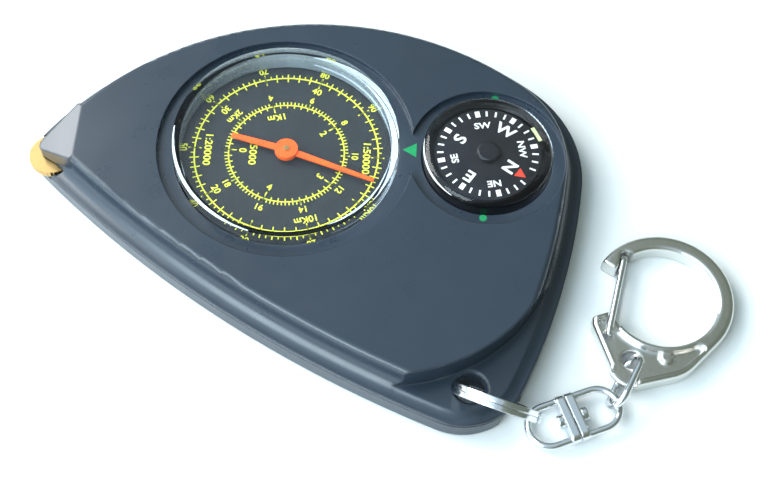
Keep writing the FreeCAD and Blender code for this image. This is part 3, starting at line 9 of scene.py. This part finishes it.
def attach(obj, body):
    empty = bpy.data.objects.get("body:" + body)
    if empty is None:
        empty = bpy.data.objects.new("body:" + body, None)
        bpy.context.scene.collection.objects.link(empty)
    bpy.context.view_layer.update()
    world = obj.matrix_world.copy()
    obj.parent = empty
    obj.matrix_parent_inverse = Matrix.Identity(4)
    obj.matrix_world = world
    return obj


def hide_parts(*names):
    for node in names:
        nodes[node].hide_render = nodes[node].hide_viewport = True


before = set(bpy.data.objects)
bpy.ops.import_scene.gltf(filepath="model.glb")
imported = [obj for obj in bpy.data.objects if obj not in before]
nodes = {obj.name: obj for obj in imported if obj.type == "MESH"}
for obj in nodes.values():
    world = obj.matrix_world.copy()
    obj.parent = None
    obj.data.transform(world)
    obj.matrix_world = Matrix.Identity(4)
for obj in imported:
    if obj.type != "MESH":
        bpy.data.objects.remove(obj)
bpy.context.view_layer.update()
MM = 0.001

# The view: the photograph was taken from in front and above, nearly sixty degrees above the table,
# with the camera turned a little about its own line of sight.
scene = bpy.context.scene
scene.view_settings.view_transform = "Standard"
picture_width, focal_length = 771, 1478.2  # in pixels
film_width = 36.0
camera_data = bpy.data.cameras.new("camera")
camera_data.sensor_width = film_width
camera_data.lens = focal_length / picture_width * film_width
camera = bpy.data.objects.new("camera", camera_data)
scene.collection.objects.link(camera)
roll = math.radians(3.316)
down, ahead = 0.8638, 0.5038
right = (math.cos(roll), math.sin(roll) * down, math.sin(roll) * ahead)
above = (-math.sin(roll), math.cos(roll) * down, math.cos(roll) * ahead)
back = (0.0, -ahead, down)
place = (17.53 * MM, -137.8 * MM, 214.1 * MM)
camera.matrix_world = Matrix(
    [[right[i], above[i], back[i], place[i]] for i in range(3)] + [[0, 0, 0, 1]]
)
scene.camera = camera

# The floor and the light: a white table top in a dim room with a wide bluish window to the left, a
# large soft lamp from the left and behind and a smaller one from the left and in front.


def material(title, color, roughness, metallic=0.0):
    """A named material with one Principled shader: returns it, its nodes, its links and the shader."""
    made = bpy.data.materials.new(title)
    made.use_nodes = True
    shader = made.node_tree.nodes["Principled BSDF"]
    shader.inputs["Base Color"].default_value = (*color, 1.0)
    shader.inputs["Roughness"].default_value = roughness
    shader.inputs["Metallic"].default_value = metallic
    return made, made.node_tree.nodes, made.node_tree.links, shader


def new_piece(title, points, faces, surface, smooth=True):
    """An object at the origin from an array of points in millimetres and a list of faces."""
    mesh = bpy.data.meshes.new(title)
    mesh.from_pydata((np.asarray(points, float) * MM).tolist(), [], [list(map(int, f)) for f in faces])
    mesh.materials.append(surface)
    mesh.polygons.foreach_set("use_smooth", [smooth] * len(mesh.polygons))
    mesh.update()
    piece = bpy.data.objects.new(title, mesh)
    scene.collection.objects.link(piece)
    return piece


def ramp(parts, stops):
    """A colour ramp with these (position, colour) stops, in rising order."""
    node = parts.new("ShaderNodeValToRGB")
    row = node.color_ramp.elements
    for end in (0, -1):
        row[end].position = stops[end][0]
        row[end].color = (*stops[end][1], 1.0)
    for position, color in stops[1:-1]:
        row.new(position).color = (*color, 1.0)
    return node


def patches(parts, join, spot, scale, stops, detail=4.0):
    """A slow change of value over the surface: noise on Object coordinates through a ramp."""
    noise = parts.new("ShaderNodeTexNoise")
    noise.inputs["Scale"].default_value = scale
    noise.inputs["Detail"].default_value = detail
    join.new(spot.outputs["Object"], noise.inputs["Vector"])
    band = ramp(parts, stops)
    join.new(noise.outputs["Fac"], band.inputs["Fac"])
    return band


table, parts, join, shader = material("table top", (0.93, 0.94, 0.94), 0.8)
shader.inputs["Specular IOR Level"].default_value = 0.1
spot = parts.new("ShaderNodeTexCoord")
stops = [(0.35, (0.9, 0.92, 0.92)), (0.65, (0.94, 0.95, 0.94))]
tint = patches(parts, join, spot, 60.0, stops, detail=2.0)
join.new(tint.outputs["Color"], shader.inputs["Base Color"])
half, level = 1500.0, -0.05
floor = new_piece(
    "floor",
    [(-half, -half, level), (half, -half, level), (half, half, level), (-half, half, level)],
    [(0, 1, 2, 3)],
    table,
)

world = bpy.data.worlds.new("studio")
scene.world = world
world.use_nodes = True
parts, join = world.node_tree.nodes, world.node_tree.links
sky = parts.new("ShaderNodeTexCoord")
facing = parts.new("ShaderNodeVectorMath")
facing.operation = "DOT_PRODUCT"
facing.inputs[1].default_value = (-0.785, -0.069, 0.616)
join.new(sky.outputs["Generated"], facing.inputs[0])
shade = ramp(parts, [
    (0.0, (0.2, 0.245, 0.205)),
    (0.28, (0.26, 0.31, 0.26)),
    (0.4, (0.36, 0.42, 0.4)),
    (0.48, (0.56, 0.7, 0.78)),
    (0.62, (0.58, 0.74, 0.84)),
    (0.78, (1.0, 1.3, 1.5)),
    (0.92, (1.7, 2.2, 2.5)),
])
join.new(facing.outputs["Value"], shade.inputs["Fac"])
join.new(shade.outputs["Color"], parts["Background"].inputs["Color"])
parts["Background"].inputs["Strength"].default_value = 0.9


def lamp(title, azimuth, elevation, distance, size, power, color):
    """A square soft lamp aimed at the middle of the object from that azimuth and elevation."""
    data = bpy.data.lights.new(title, "AREA")
    data.shape = "SQUARE"
    data.size = size
    data.energy = power
    data.color = color
    hanging = bpy.data.objects.new(title, data)
    scene.collection.objects.link(hanging)
    turn, rise = math.radians(azimuth), math.radians(elevation)
    away = np.array([math.cos(turn) * math.cos(rise), math.sin(turn) * math.cos(rise), math.sin(rise)])
    aside = np.array([-math.sin(turn), math.cos(turn), 0.0])
    over = np.cross(away, aside)
    spot = away * distance + np.array([0.015, -0.01, 0.0])
    hanging.matrix_world = Matrix(
        [[aside[i], over[i], away[i], spot[i]] for i in range(3)] + [[0, 0, 0, 1]]
    )
    return hanging


lamp("key_lamp", 152, 33, 0.55, 0.42, 3.6, (1.0, 0.98, 0.94))
lamp("side_lamp", 228, 32, 0.5, 0.34, 2.2, (0.8, 0.93, 1.0))

# The case: two shells of black injection-moulded plastic, with the fine even grain of a
# spark-eroded mould, slightly worn along the edges, screwed together from the rear.


def dress(surface, *names):
    """Gives CAD nodes a material."""
    for name in names:
        piece = nodes[name]
        if not piece.material_slots:
            piece.data.materials.append(surface)
        for holder in piece.material_slots:
            holder.material = surface


def grain(parts, join, shader, scale, depth, strength, edge=0.0):
    """A fine bump on Object coordinates over edges rounded by the given radius in metres."""
    spot = parts.new("ShaderNodeTexCoord")
    noise = parts.new("ShaderNodeTexNoise")
    noise.inputs["Scale"].default_value = scale
    noise.inputs["Detail"].default_value = 3.0
    join.new(spot.outputs["Object"], noise.inputs["Vector"])
    bump = parts.new("ShaderNodeBump")
    bump.inputs["Strength"].default_value = strength
    bump.inputs["Distance"].default_value = depth
    join.new(noise.outputs["Fac"], bump.inputs["Height"])
    if edge:
        rounded = parts.new("ShaderNodeBevel")
        rounded.samples = 6
        rounded.inputs["Radius"].default_value = edge
        join.new(rounded.outputs["Normal"], bump.inputs["Normal"])
    join.new(bump.outputs["Normal"], shader.inputs["Normal"])
    return spot


def beyond_circles(parts, join, spot, places):
    """One outside all upright cylinders given as (x of the axis, radius) in metres, else nought."""
    product = None
    for axis, radius in places:
        offset = parts.new("ShaderNodeVectorMath")
        offset.operation = "MULTIPLY_ADD"
        offset.inputs[1].default_value = (1.0, 1.0, 0.0)
        offset.inputs[2].default_value = (-axis, 0.0, 0.0)
        join.new(spot.outputs["Object"], offset.inputs[0])
        away = parts.new("ShaderNodeVectorMath")
        away.operation = "LENGTH"
        join.new(offset.outputs["Vector"], away.inputs[0])
        beyond = parts.new("ShaderNodeMath")
        beyond.operation = "GREATER_THAN"
        beyond.inputs[1].default_value = radius
        join.new(away.outputs["Value"], beyond.inputs[0])
        if product:
            both = parts.new("ShaderNodeMath")
            both.operation = "MULTIPLY"
            join.new(product.outputs["Value"], both.inputs[0])
            join.new(beyond.outputs["Value"], both.inputs[1])
            beyond = both
        product = beyond
    return product


recess_rounding, outline_rounding = 0.00025, 0.00055
recess_places = ((0.0, 0.0225), (0.03366, 0.0142))
plastic, parts, join, shader = material("moulded plastic", (0.01, 0.017, 0.03), 0.3)
shader.inputs["Specular IOR Level"].default_value = 0.8
spot = grain(parts, join, shader, 3200.0, 0.00003, 0.2, edge=recess_rounding)
wide = parts.new("ShaderNodeMapRange")
wide.inputs["To Min"].default_value = recess_rounding
wide.inputs["To Max"].default_value = outline_rounding
join.new(beyond_circles(parts, join, spot, recess_places).outputs["Value"], wide.inputs["Value"])
rounded = next(node for node in parts if node.type == "BEVEL")
join.new(wide.outputs["Result"], rounded.inputs["Radius"])
tint = patches(parts, join, spot, 70.0, [(0.3, (0.019, 0.03, 0.047)), (0.7, (0.023, 0.036, 0.055))])
join.new(tint.outputs["Color"], shader.inputs["Base Color"])
sheen = patches(parts, join, spot, 180.0, [(0.3, (0.26, 0.26, 0.26)), (0.7, (0.34, 0.34, 0.34))])
join.new(sheen.outputs["Color"], shader.inputs["Roughness"])
# Painted shade: in narrow corners and recesses, where the ambient occlusion finds surfaces close by, the
# gloss gives way to a dull dark surface.
corner = parts.new("ShaderNodeAmbientOcclusion")
corner.samples = 8
corner.inputs["Distance"].default_value = 0.002
open_air = ramp(parts, [(0.0, (0.0, 0.0, 0.0)), (0.4, (1.0, 1.0, 1.0))])
join.new(corner.outputs["AO"], open_air.inputs["Fac"])
# The dark matte surface mixed in there is painted shade.
painted_corner_shade = parts.new("ShaderNodeBsdfDiffuse")
painted_corner_shade.inputs["Color"].default_value = (0.022, 0.022, 0.036, 1.0)
blended = parts.new("ShaderNodeMixShader")
join.new(open_air.outputs["Color"], blended.inputs["Fac"])
join.new(painted_corner_shade.outputs["BSDF"], blended.inputs[1])
join.new(shader.outputs["BSDF"], blended.inputs[2])
join.new(blended.outputs["Shader"], parts["Material Output"].inputs["Surface"])
dress(plastic, "upper_shell", "lower_shell")

# The steel parts: four self-tapping screws from the rear, the axle and the pins.


def metal(title, color, roughness, fineness, depth, strength, scale, low, high, edge=0.0):
    """A bare metal: fine grain, and a roughness that changes slowly from the low to the high one."""
    surface, parts, join, shader = material(title, color, roughness, 1.0)
    spot = grain(parts, join, shader, fineness, depth, strength, edge=edge)
    sheen = patches(parts, join, spot, scale, [(0.3, (low, low, low)), (0.7, (high, high, high))])
    join.new(sheen.outputs["Color"], shader.inputs["Roughness"])
    return surface


steel = metal("bright steel", (0.62, 0.6, 0.56), 0.28, 5200.0, 0.00002, 0.3, 900.0, 0.22, 0.36)
dress(steel, "case_screws", "wheel_axle", "gear_pins", "compass_magnet", "compass_pivot")

# The brass parts: the knurled wheel at the tip that runs along the map, the small gears under the
# dial and the pointer's arbor.
brass = metal("brass", (0.6, 0.4, 0.16), 0.3, 4200.0, 0.00002, 0.3, 700.0, 0.24, 0.4)
dress(brass, "measuring_wheel", "pointer_arbor", "wheel_pinion", "reduction_gear_1")
dress(brass, "reduction_gear_2", "pointer_gear", "compass_jewel")

# The window over the dial: clear acrylic with a thick edge, pushed in from behind.


def lets_through(parts, join, shader):
    """Lamp light passes straight through the clear material to what lies under it."""
    ray = parts.new("ShaderNodeLightPath")
    pane = parts.new("ShaderNodeBsdfTransparent")
    pane.inputs["Color"].default_value = (0.93, 0.95, 0.96, 1.0)
    choice = parts.new("ShaderNodeMixShader")
    join.new(ray.outputs["Is Shadow Ray"], choice.inputs["Fac"])
    join.new(shader.outputs["BSDF"], choice.inputs[1])
    join.new(pane.outputs["BSDF"], choice.inputs[2])
    join.new(choice.outputs["Shader"], parts["Material Output"].inputs["Surface"])


clear, parts, join, shader = material("clear acrylic", (0.97, 0.99, 1.0), 0.02)
shader.inputs["Transmission Weight"].default_value = 1.0
shader.inputs["IOR"].default_value = 1.38
spot = parts.new("ShaderNodeTexCoord")
sheen = patches(parts, join, spot, 120.0, [(0.4, (0.0, 0.0, 0.0)), (0.7, (0.03, 0.03, 0.03))])
join.new(sheen.outputs["Color"], shader.inputs["Roughness"])
lets_through(parts, join, shader)
dress(clear, "dial_crystal")

# The rims of the window, painted light: on the right a wide pale sickle with fine ring grooves lies at the
# foot of the side wall and is seen through it.
# It is a painted reflection of the light in the window's wall. On the left a thin pale sickle just under the
# upper edge of the pane is a painted highlight on that edge.
# A pale lit material used only for painted highlights and painted reflections.
painted_glint, parts, join, shader = material("painted highlight line", (0.7, 0.82, 0.92), 0.5)
spot = parts.new("ShaderNodeTexCoord")
grooves = parts.new("ShaderNodeTexWave")
grooves.wave_type = "RINGS"
grooves.rings_direction = "Z"
grooves.inputs["Scale"].default_value = 900.0
grooves.inputs["Distortion"].default_value = 3.0
grooves.inputs["Detail"].default_value = 2.0
join.new(spot.outputs["Object"], grooves.inputs["Vector"])
tint = ramp(parts, [(0.2, (0.3, 0.4, 0.5)), (0.7, (0.85, 0.95, 1.0))])
join.new(grooves.outputs["Fac"], tint.inputs["Fac"])
join.new(tint.outputs["Color"], shader.inputs["Base Color"])


def crescent(first, last, inner, outer, height, centre=(0.0, 0.0), count=90):
    """A flat sickle: its outer edge keeps the outer radius between the two angles, and its width
    follows the square root of half a sine wave, from almost nothing at one end over the whole
    difference of the two radii in the middle to almost nothing again."""
    turn = np.radians(np.linspace(first, last, count))
    swell = np.sqrt(np.sin(np.linspace(0.02, 0.98, count) * np.pi))
    spokes = np.stack([np.cos(turn), np.sin(turn)], 1)
    near = spokes * (outer - (outer - inner) * swell)[:, None]
    points = np.vstack([near, spokes * outer]) + np.asarray(centre)
    here = np.arange(count - 1)
    faces = np.stack([here, here + count, here + count + 1, here + 1], 1).tolist()
    return np.column_stack([points, np.full(2 * count, height)]), faces


# Painted reflection on the right of the window and painted highlight on its left rim.
right_wall_glint = new_piece("right_wall_highlight", *crescent(-62, 80, 17.65, 18.72, 7.2), painted_glint)
left_rim_glint = new_piece("left_rim_highlight", *crescent(176, 256, 18.2, 18.74, 10.8), painted_glint)
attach(right_wall_glint, "case")
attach(left_rim_glint, "case")

# A half-clear grey sheet just inside the far side of the window's wall shows as a grey band between the two
# rims:
# a painted reflection, standing in for the light seen in that clear wall.
painted_wall_reflection, parts, join, shader = material("painted wall reflection", (0.5, 0.58, 0.62), 0.5)
spot = parts.new("ShaderNodeTexCoord")
cover = patches(parts, join, spot, 90.0, [(0.3, (0.2, 0.2, 0.2)), (0.75, (0.5, 0.5, 0.5))])
through = parts.new("ShaderNodeBsdfTransparent")
veil = parts.new("ShaderNodeMixShader")
join.new(cover.outputs["Color"], veil.inputs["Fac"])
join.new(through.outputs["BSDF"], veil.inputs[1])
join.new(shader.outputs["BSDF"], veil.inputs[2])
join.new(veil.outputs["Shader"], parts["Material Output"].inputs["Surface"])


def wall(first, last, radius, low, high, count=120):
    """Part of an upright cylinder about the dial's axis, facing inwards: x = radius cos(angle),
    y = radius sin(angle), as a grid of angle by two heights."""
    turn = np.radians(np.linspace(first, last, count))
    circle = np.stack([radius * np.cos(turn), radius * np.sin(turn)], 1)
    points = np.vstack([np.column_stack([circle, np.full(count, z)]) for z in (low, high)])
    here = np.arange(count - 1)
    return points, np.stack([here + 1, here, here + count, here + count + 1], 1).tolist()


# The painted reflection on the far side of the window's wall.
far_wall = new_piece("far_wall_reflection", *wall(20, 205, 17.64, 6.4, 10.4), painted_wall_reflection)
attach(far_wall, "case")

# The dial: a black painted plate with two distance scales printed in yellow.
black, parts, join, shader = material("dial paint", (0.016, 0.021, 0.026), 0.5)
shader.inputs["Specular IOR Level"].default_value = 0.3
spot = grain(parts, join, shader, 1500.0, 0.000004, 0.15)
tint = patches(parts, join, spot, 900.0, [(0.3, (0.013, 0.017, 0.021)), (0.7, (0.019, 0.025, 0.031))])
join.new(tint.outputs["Color"], shader.inputs["Base Color"])
sheen = patches(parts, join, spot, 300.0, [(0.3, (0.46, 0.46, 0.46)), (0.7, (0.56, 0.56, 0.56))])
join.new(sheen.outputs["Color"], shader.inputs["Roughness"])
dress(black, "dial_plate")


def strokes(angles, inner, outer, width):
    """Straight marks along rays from the middle: for each angle a four-cornered stroke from the
    inner to the outer radius, with its two long edges half a width to each side of the ray."""
    turn = np.radians(np.asarray(angles, float))
    along = np.stack([np.cos(turn), np.sin(turn)], 1)
    aside = np.stack([-np.sin(turn), np.cos(turn)], 1) * width / 2
    ends = [along * inner - aside, along * outer - aside, along * outer + aside, along * inner + aside]
    corners = np.stack(ends, 1)
    points = corners.reshape(-1, 2)
    faces = np.arange(len(points)).reshape(-1, 4)
    return points, faces


def hoop(radius, width, count=240):
    """A flat ring line: a grid of angle by two radii, closed round."""
    turn = np.linspace(0, 2 * np.pi, count, endpoint=False)
    spokes = np.stack([np.cos(turn), np.sin(turn)], 1)
    points = np.concatenate([spokes * (radius - width / 2), spokes * (radius + width / 2)])
    here = np.arange(count)
    after = (here + 1) % count
    return points, np.stack([here, here + count, after + count, after], 1)


def words(text, size, x, y, turn, weight=0.0, stretch=1.0):
    """Lettering as flat faces: the text's outline centred on (x, y) and turned by the angle."""
    curve = bpy.data.curves.new("lettering", "FONT")
    curve.body = text
    curve.size = size
    curve.offset = weight
    curve.align_x = "CENTER"
    curve.align_y = "CENTER"
    curve.resolution_u = 3
    carrier = bpy.data.objects.new("lettering", curve)
    scene.collection.objects.link(carrier)
    bpy.context.view_layer.update()
    mesh = bpy.data.meshes.new_from_object(carrier)
    flat = np.array([v.co[:2] for v in mesh.vertices]).reshape(-1, 2)
    faces = [tuple(p.vertices) for p in mesh.polygons]
    bpy.data.objects.remove(carrier)
    bpy.data.curves.remove(curve)
    bpy.data.meshes.remove(mesh)
    flat[:, 0] = (flat[:, 0] - (flat[:, 0].max() + flat[:, 0].min()) / 2) * stretch
    flat[:, 1] -= (flat[:, 1].max() + flat[:, 1].min()) / 2
    c, s = math.cos(math.radians(turn)), math.sin(math.radians(turn))
    across, up = flat[:, 0], flat[:, 1]
    return np.stack([x + across * c - up * s, y + across * s + up * c], 1), faces


def printed(title, shapes, height, surface, centre=(0.0, 0.0)):
    """One flat piece from many flat shapes, at that height, about that centre, facing up."""
    points, faces, count = [], [], 0
    for flat, rows in shapes:
        points.append(np.asarray(flat) + np.asarray(centre))
        faces += [[int(i) + count for i in row] for row in rows]
        count += len(flat)
    points = np.concatenate(points)
    points = np.column_stack([points, np.full(len(points), height)])
    piece = new_piece(title, points, faces, surface, smooth=False)
    shell = bmesh.new()
    shell.from_mesh(piece.data)
    for face in shell.faces:
        face.normal_update()
    bmesh.ops.reverse_faces(shell, faces=[face for face in shell.faces if face.normal.z < 0])
    shell.to_mesh(piece.data)
    shell.free()
    return piece


def ink(title, color, roughness, fineness, scale, dark, light):
    """A printing paint: one colour, a little darker and lighter in small patches."""
    surface, parts, join, shader = material(title, color, roughness)
    spot = grain(parts, join, shader, fineness, 0.00001, 0.3)
    tint = patches(parts, join, spot, scale, [(0.3, dark), (0.65, light)])
    join.new(tint.outputs["Color"], shader.inputs["Base Color"])
    return surface


yellow = ink("yellow print", (0.8, 0.82, 0.05), 0.5, 5000.0, 2500.0, (0.7, 0.74, 0.04), (0.86, 0.88, 0.06))

inner_line, outer_line = 9.73, 15.46


def around(radius, angle):
    """A point at that radius and angle, with the angle at which lettering there is read."""
    turn = math.radians(angle)
    reading = angle - 90 if math.cos(turn) > 1e-9 else angle + 90
    return radius * math.cos(turn), radius * math.sin(turn), reading


dial_shapes = [hoop(inner_line, 0.22), hoop(outer_line, 0.25)]
fine = np.arange(100) * 3.6
dial_shapes.append(strokes(fine, inner_line, inner_line + 0.68, 0.18))
dial_shapes.append(strokes(fine[::2], inner_line - 0.6, inner_line, 0.18))
dial_shapes.append(strokes(np.arange(5) * 72 + 36, inner_line - 1.35, inner_line + 0.95, 0.21))
dial_shapes.append(strokes(np.arange(10) * 36, inner_line, inner_line + 0.95, 0.2))
dial_shapes.append(strokes(fine[::2], outer_line - 0.8, outer_line + 0.8, 0.2))
dial_shapes.append(strokes(fine[1::2], outer_line, outer_line + 0.6, 0.18))
dial_shapes.append(strokes(np.arange(10) * 36, outer_line - 1.15, outer_line + 1.05, 0.22))
number_weight = 0.03
number_rows = [  # radius, size, and each number with its angle
    (7.35, 1.75, {"0": 180, "1Km": 108, "2": 36, "3": -36, "4": -108}),
    (
        11.55, 1.6,
        {"2Km": 144, "4": 108, "6": 72, "8": 36, "10": 0, "12": -36, "14": -72, "16": -108, "18": -144},
    ),
    (13.6, 1.7, {"40": 72, "30": 144, "20": -144, "10Km": -72}),
    (
        17.3, 1.6,
        {"10Km": -36, "20": -72, "30": -108, "40": -144, "50": 180, "60": 144, "70": 108, "80": 72, "90": 36},
    ),
]
for radius, size, numbers in number_rows:
    for text, angle in numbers.items():
        x, y, turn = around(radius, angle)
        dial_shapes.append(words(text, size, x, y, turn, number_weight))
scale_size, scale_stretch = 1.75, 1.17
dial_shapes.append(words("1:5000", scale_size, -5.6, -0.2, -90, number_weight, scale_stretch))
dial_shapes.append(words("1:20000", scale_size, -13.2, -0.3, -90, number_weight, scale_stretch))
dial_shapes.append(words("1:50000", scale_size, 13.5, -0.3, -90, number_weight, scale_stretch))
plate_top, print_gap = 6.1, 0.015
dial_print = printed("dial_print", dial_shapes, plate_top + print_gap, yellow)
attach(dial_print, "case")

# The pointer: stamped from thin sheet and painted orange, pressed on the arbor.
orange, parts, join, shader = material("orange paint", (0.95, 0.1, 0.0), 0.5)
spot = grain(parts, join, shader, 3000.0, 0.00001, 0.3, edge=0.0001)
tint = patches(parts, join, spot, 500.0, [(0.3, (0.9, 0.085, 0.0)), (0.7, (1.0, 0.12, 0.0))])
join.new(tint.outputs["Color"], shader.inputs["Base Color"])
dress(orange, "pointer_hand")

# The compass: a black cup, and in it a black card with white marks that turns on a needle.
inky, parts, join, shader = material("compass black", (0.006, 0.006, 0.008), 0.35)
spot = grain(parts, join, shader, 1500.0, 0.000004, 0.1)
tint = patches(parts, join, spot, 600.0, [(0.3, (0.005, 0.005, 0.008)), (0.7, (0.008, 0.008, 0.012))])
join.new(tint.outputs["Color"], shader.inputs["Base Color"])
sheen = patches(parts, join, spot, 300.0, [(0.3, (0.28, 0.28, 0.28)), (0.7, (0.4, 0.4, 0.4))])
join.new(sheen.outputs["Color"], shader.inputs["Roughness"])
dress(inky, "compass_base", "compass_card", "gear_bridge")

chalk = ink("white print", (0.85, 0.87, 0.88), 0.5, 5000.0, 2000.0, (0.78, 0.8, 0.82), (0.9, 0.92, 0.93))

compass_x, north = 33.66, -31.2
small = np.arange(1, 32)
card_shapes = [
    strokes(north + small[small % 4 > 0] * 11.25, 7.35, 8.4, 0.32),
    strokes(north + np.arange(1, 8) * 45.0, 7.25, 8.45, 0.82),
]
letters = [
    ("N", -3.0, 4.45), ("NE", -48.0, 6.0), ("E", -91.0, 5.6), ("SE", -134.0, 5.65),
    ("S", -177.0, 5.3), ("SW", 131.5, 5.5), ("W", 90.0, 5.5), ("NW", 42.0, 5.75),
]
for text, offset, reach in letters:
    angle = north + offset
    turn = math.radians(angle)
    size, weight = (2.9, 0.075) if len(text) == 1 else (1.65, 0.045)
    x, y = reach * math.cos(turn), reach * math.sin(turn)
    card_shapes.append(words(text, size, x, y, angle - 90, weight, 1.12))
card_top = 9.0
card_print = printed("card_print", card_shapes, card_top + print_gap, chalk, (compass_x, 0.0))
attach(card_print, "card")

red = ink("red print", (0.8, 0.045, 0.02), 0.45, 4000.0, 1500.0, (0.74, 0.04, 0.018), (0.86, 0.06, 0.03))
c, s = math.cos(math.radians(north - 3.5)), math.sin(math.radians(north - 3.5))
arrow = np.array([[7.65, 0.0], [5.9, 0.95], [5.9, -0.95]]) @ np.array([[c, s], [-s, c]])
north_mark = printed("north_mark", [(arrow, [(0, 1, 2)])], 9.02, red, (compass_x, 0.0))
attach(north_mark, "card")

# The capsule over the compass: a clear moulded dome filled to the brim with liquid, so dome and
# liquid work as one lens. It stands in the black cup below and is held by the ledge of its recess.


def turned(title, profile, surface, centre=(0.0, 0.0), count=160):
    """A surface of revolution: each (radius, height) point of the profile is carried round the
    upright axis through the centre, x = radius cos(angle), y = radius sin(angle). The profile runs
    so that its left side faces outwards, and an end on the axis is closed by a fan of triangles."""
    profile = np.asarray(profile, float)
    turn = np.linspace(0, 2 * np.pi, count, endpoint=False)
    inner = profile[profile[:, 0] > 1e-9]
    rings = np.stack([
        centre[0] + inner[:, None, 0] * np.cos(turn),
        centre[1] + inner[:, None, 0] * np.sin(turn),
        np.repeat(inner[:, None, 1], count, 1),
    ], 2)
    points = rings.reshape(-1, 3)
    row = np.arange(len(inner) - 1)[:, None] * count
    here = np.arange(count)[None, :]
    after = (here + 1) % count
    faces = np.stack([row + here, row + after, row + count + after, row + count + here], 2)
    faces = faces.reshape(-1, 4).tolist()
    here, after = here[0], after[0]
    if profile[0, 0] < 1e-9:
        faces += np.stack([np.full(count, len(points)), after, here], 1).tolist()
        points = np.vstack([points, [*centre, profile[0, 1]]])
    if profile[-1, 0] < 1e-9:
        last = (len(inner) - 1) * count
        faces += np.stack([np.full(count, len(points)), last + here, last + after], 1).tolist()
        points = np.vstack([points, [*centre, profile[-1, 1]]])
    piece = new_piece(title, points, faces, surface)
    piece.data.set_sharp_from_angle(angle=math.radians(35))
    return piece


def rounding(x, y, radius, first, last, count):
    """Points on an arc about (x, y) from the first to the last angle in degrees."""
    turn = np.radians(np.linspace(first, last, count))
    return np.stack([x + radius * np.cos(turn), y + radius * np.sin(turn)], 1)


capsule_radius, capsule_side, capsule_edge, capsule_crown = 10.9, 9.9, 1.4, 1.8
flat = capsule_radius - capsule_edge
sphere = (flat**2 + capsule_crown**2 - capsule_edge**2) / (2 * (capsule_crown - capsule_edge))
middle = capsule_side + capsule_crown - sphere
lean = math.degrees(math.atan2(capsule_side - middle, flat))
liquid, parts, join, shader = material("liquid in a clear dome", (0.98, 0.99, 1.0), 0.0)
shader.inputs["Transmission Weight"].default_value = 1.0
shader.inputs["IOR"].default_value = 1.42
spot = parts.new("ShaderNodeTexCoord")
sheen = patches(parts, join, spot, 150.0, [(0.4, (0.0, 0.0, 0.0)), (0.7, (0.008, 0.008, 0.008))])
join.new(sheen.outputs["Color"], shader.inputs["Roughness"])
lets_through(parts, join, shader)
capsule = turned(
    "capsule",
    np.concatenate([
        [(0.0, 3.9), (10.4, 3.9), (10.4, 6.0), (capsule_radius, 6.0), (capsule_radius, 8.0)],
        rounding(flat, capsule_side, capsule_edge, 0.0, lean, 14),
        rounding(0.0, middle, sphere, lean, 90.0, 30)[1:-1],
        [(0.0, capsule_side + capsule_crown)],
    ]),
    liquid,
    (compass_x, 0.0),
)
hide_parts("compass_dome")
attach(capsule, "case")

# Painted light on the capsule: a bright white sickle just under the shoulder on the near side is a painted
# highlight, and a thin pale sickle seen through the wall on the far side is a painted reflection.
# Painted highlight on the near shoulder, in the white print's colour.
near_shoulder_highlight = new_piece("near_shoulder_highlight", *crescent(170, 237, 10.3, 10.74, 10.35, (compass_x, 0.0)), chalk)
# Painted reflection in the far wall of the capsule.
far_capsule_reflection = new_piece("far_capsule_reflection", *crescent(0, 60, 10.3, 10.58, 9.8, (compass_x, 0.0)), painted_glint)
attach(near_shoulder_highlight, "case")
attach(far_capsule_reflection, "case")

# The light bar: a strip of yellow-green luminous paint on the inside of the capsule's wall.
glow = ink(
    "luminous paint", (0.62, 0.72, 0.36), 0.5, 4000.0, 1500.0, (0.55, 0.68, 0.32), (0.7, 0.78, 0.42)
)
bar = np.array([[41.3, 5.8], [42.7, 3.25], [42.1, 2.95], [40.7, 5.5]])
light_bar = printed("light_bar", [(bar, [(0, 1, 2, 3)])], 8.9, glow)
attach(light_bar, "case")

# The green marks on the case: a triangle between dial and compass and a dot above and below the
# compass, padded on in paint.
green = ink("green print", (0.012, 0.3, 0.1), 0.4, 4000.0, 1500.0, (0.01, 0.26, 0.085), (0.015, 0.34, 0.12))


def dot(x, y, radius, count=32):
    """A flat disc: a fan of points on a circle."""
    turn = np.linspace(0, 2 * np.pi, count, endpoint=False)
    return np.stack([x + radius * np.cos(turn), y + radius * np.sin(turn)], 1), [list(range(count))]


recess_floor = 8.1
green_marks = printed(
    "green_marks",
    [
        (np.array([[19.5, 0.9], [21.8, -0.45], [21.8, 2.35]]), [(0, 1, 2)]),
        dot(34.84, 12.5, 0.6),
        dot(33.2, -11.6, 0.62),
    ],
    recess_floor + print_gap,
    green,
)
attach(green_marks, "case")

# The chain: split ring, swivel, oval link and snap clip of nickel-plated steel, polished bright.
chrome = metal(
    "bright plating", (0.8, 0.81, 0.83), 0.08, 900.0, 0.00002, 0.15, 600.0, 0.05, 0.14, edge=0.0004
)
dress(chrome, "split_ring", "swivel_stirrup_near", "swivel_rivet", "swivel_stirrup_far")
dress(chrome, "jump_ring", "clip_gate")

# The clip's body is a casting: its edges are well rounded and its flats a little rough.
cast = metal(
    "plated casting", (0.74, 0.73, 0.7), 0.14, 1400.0, 0.00004, 0.25, 700.0, 0.08, 0.2, edge=0.0008
)
dress(cast, "clip_body")

bpy.context.view_layer.update()
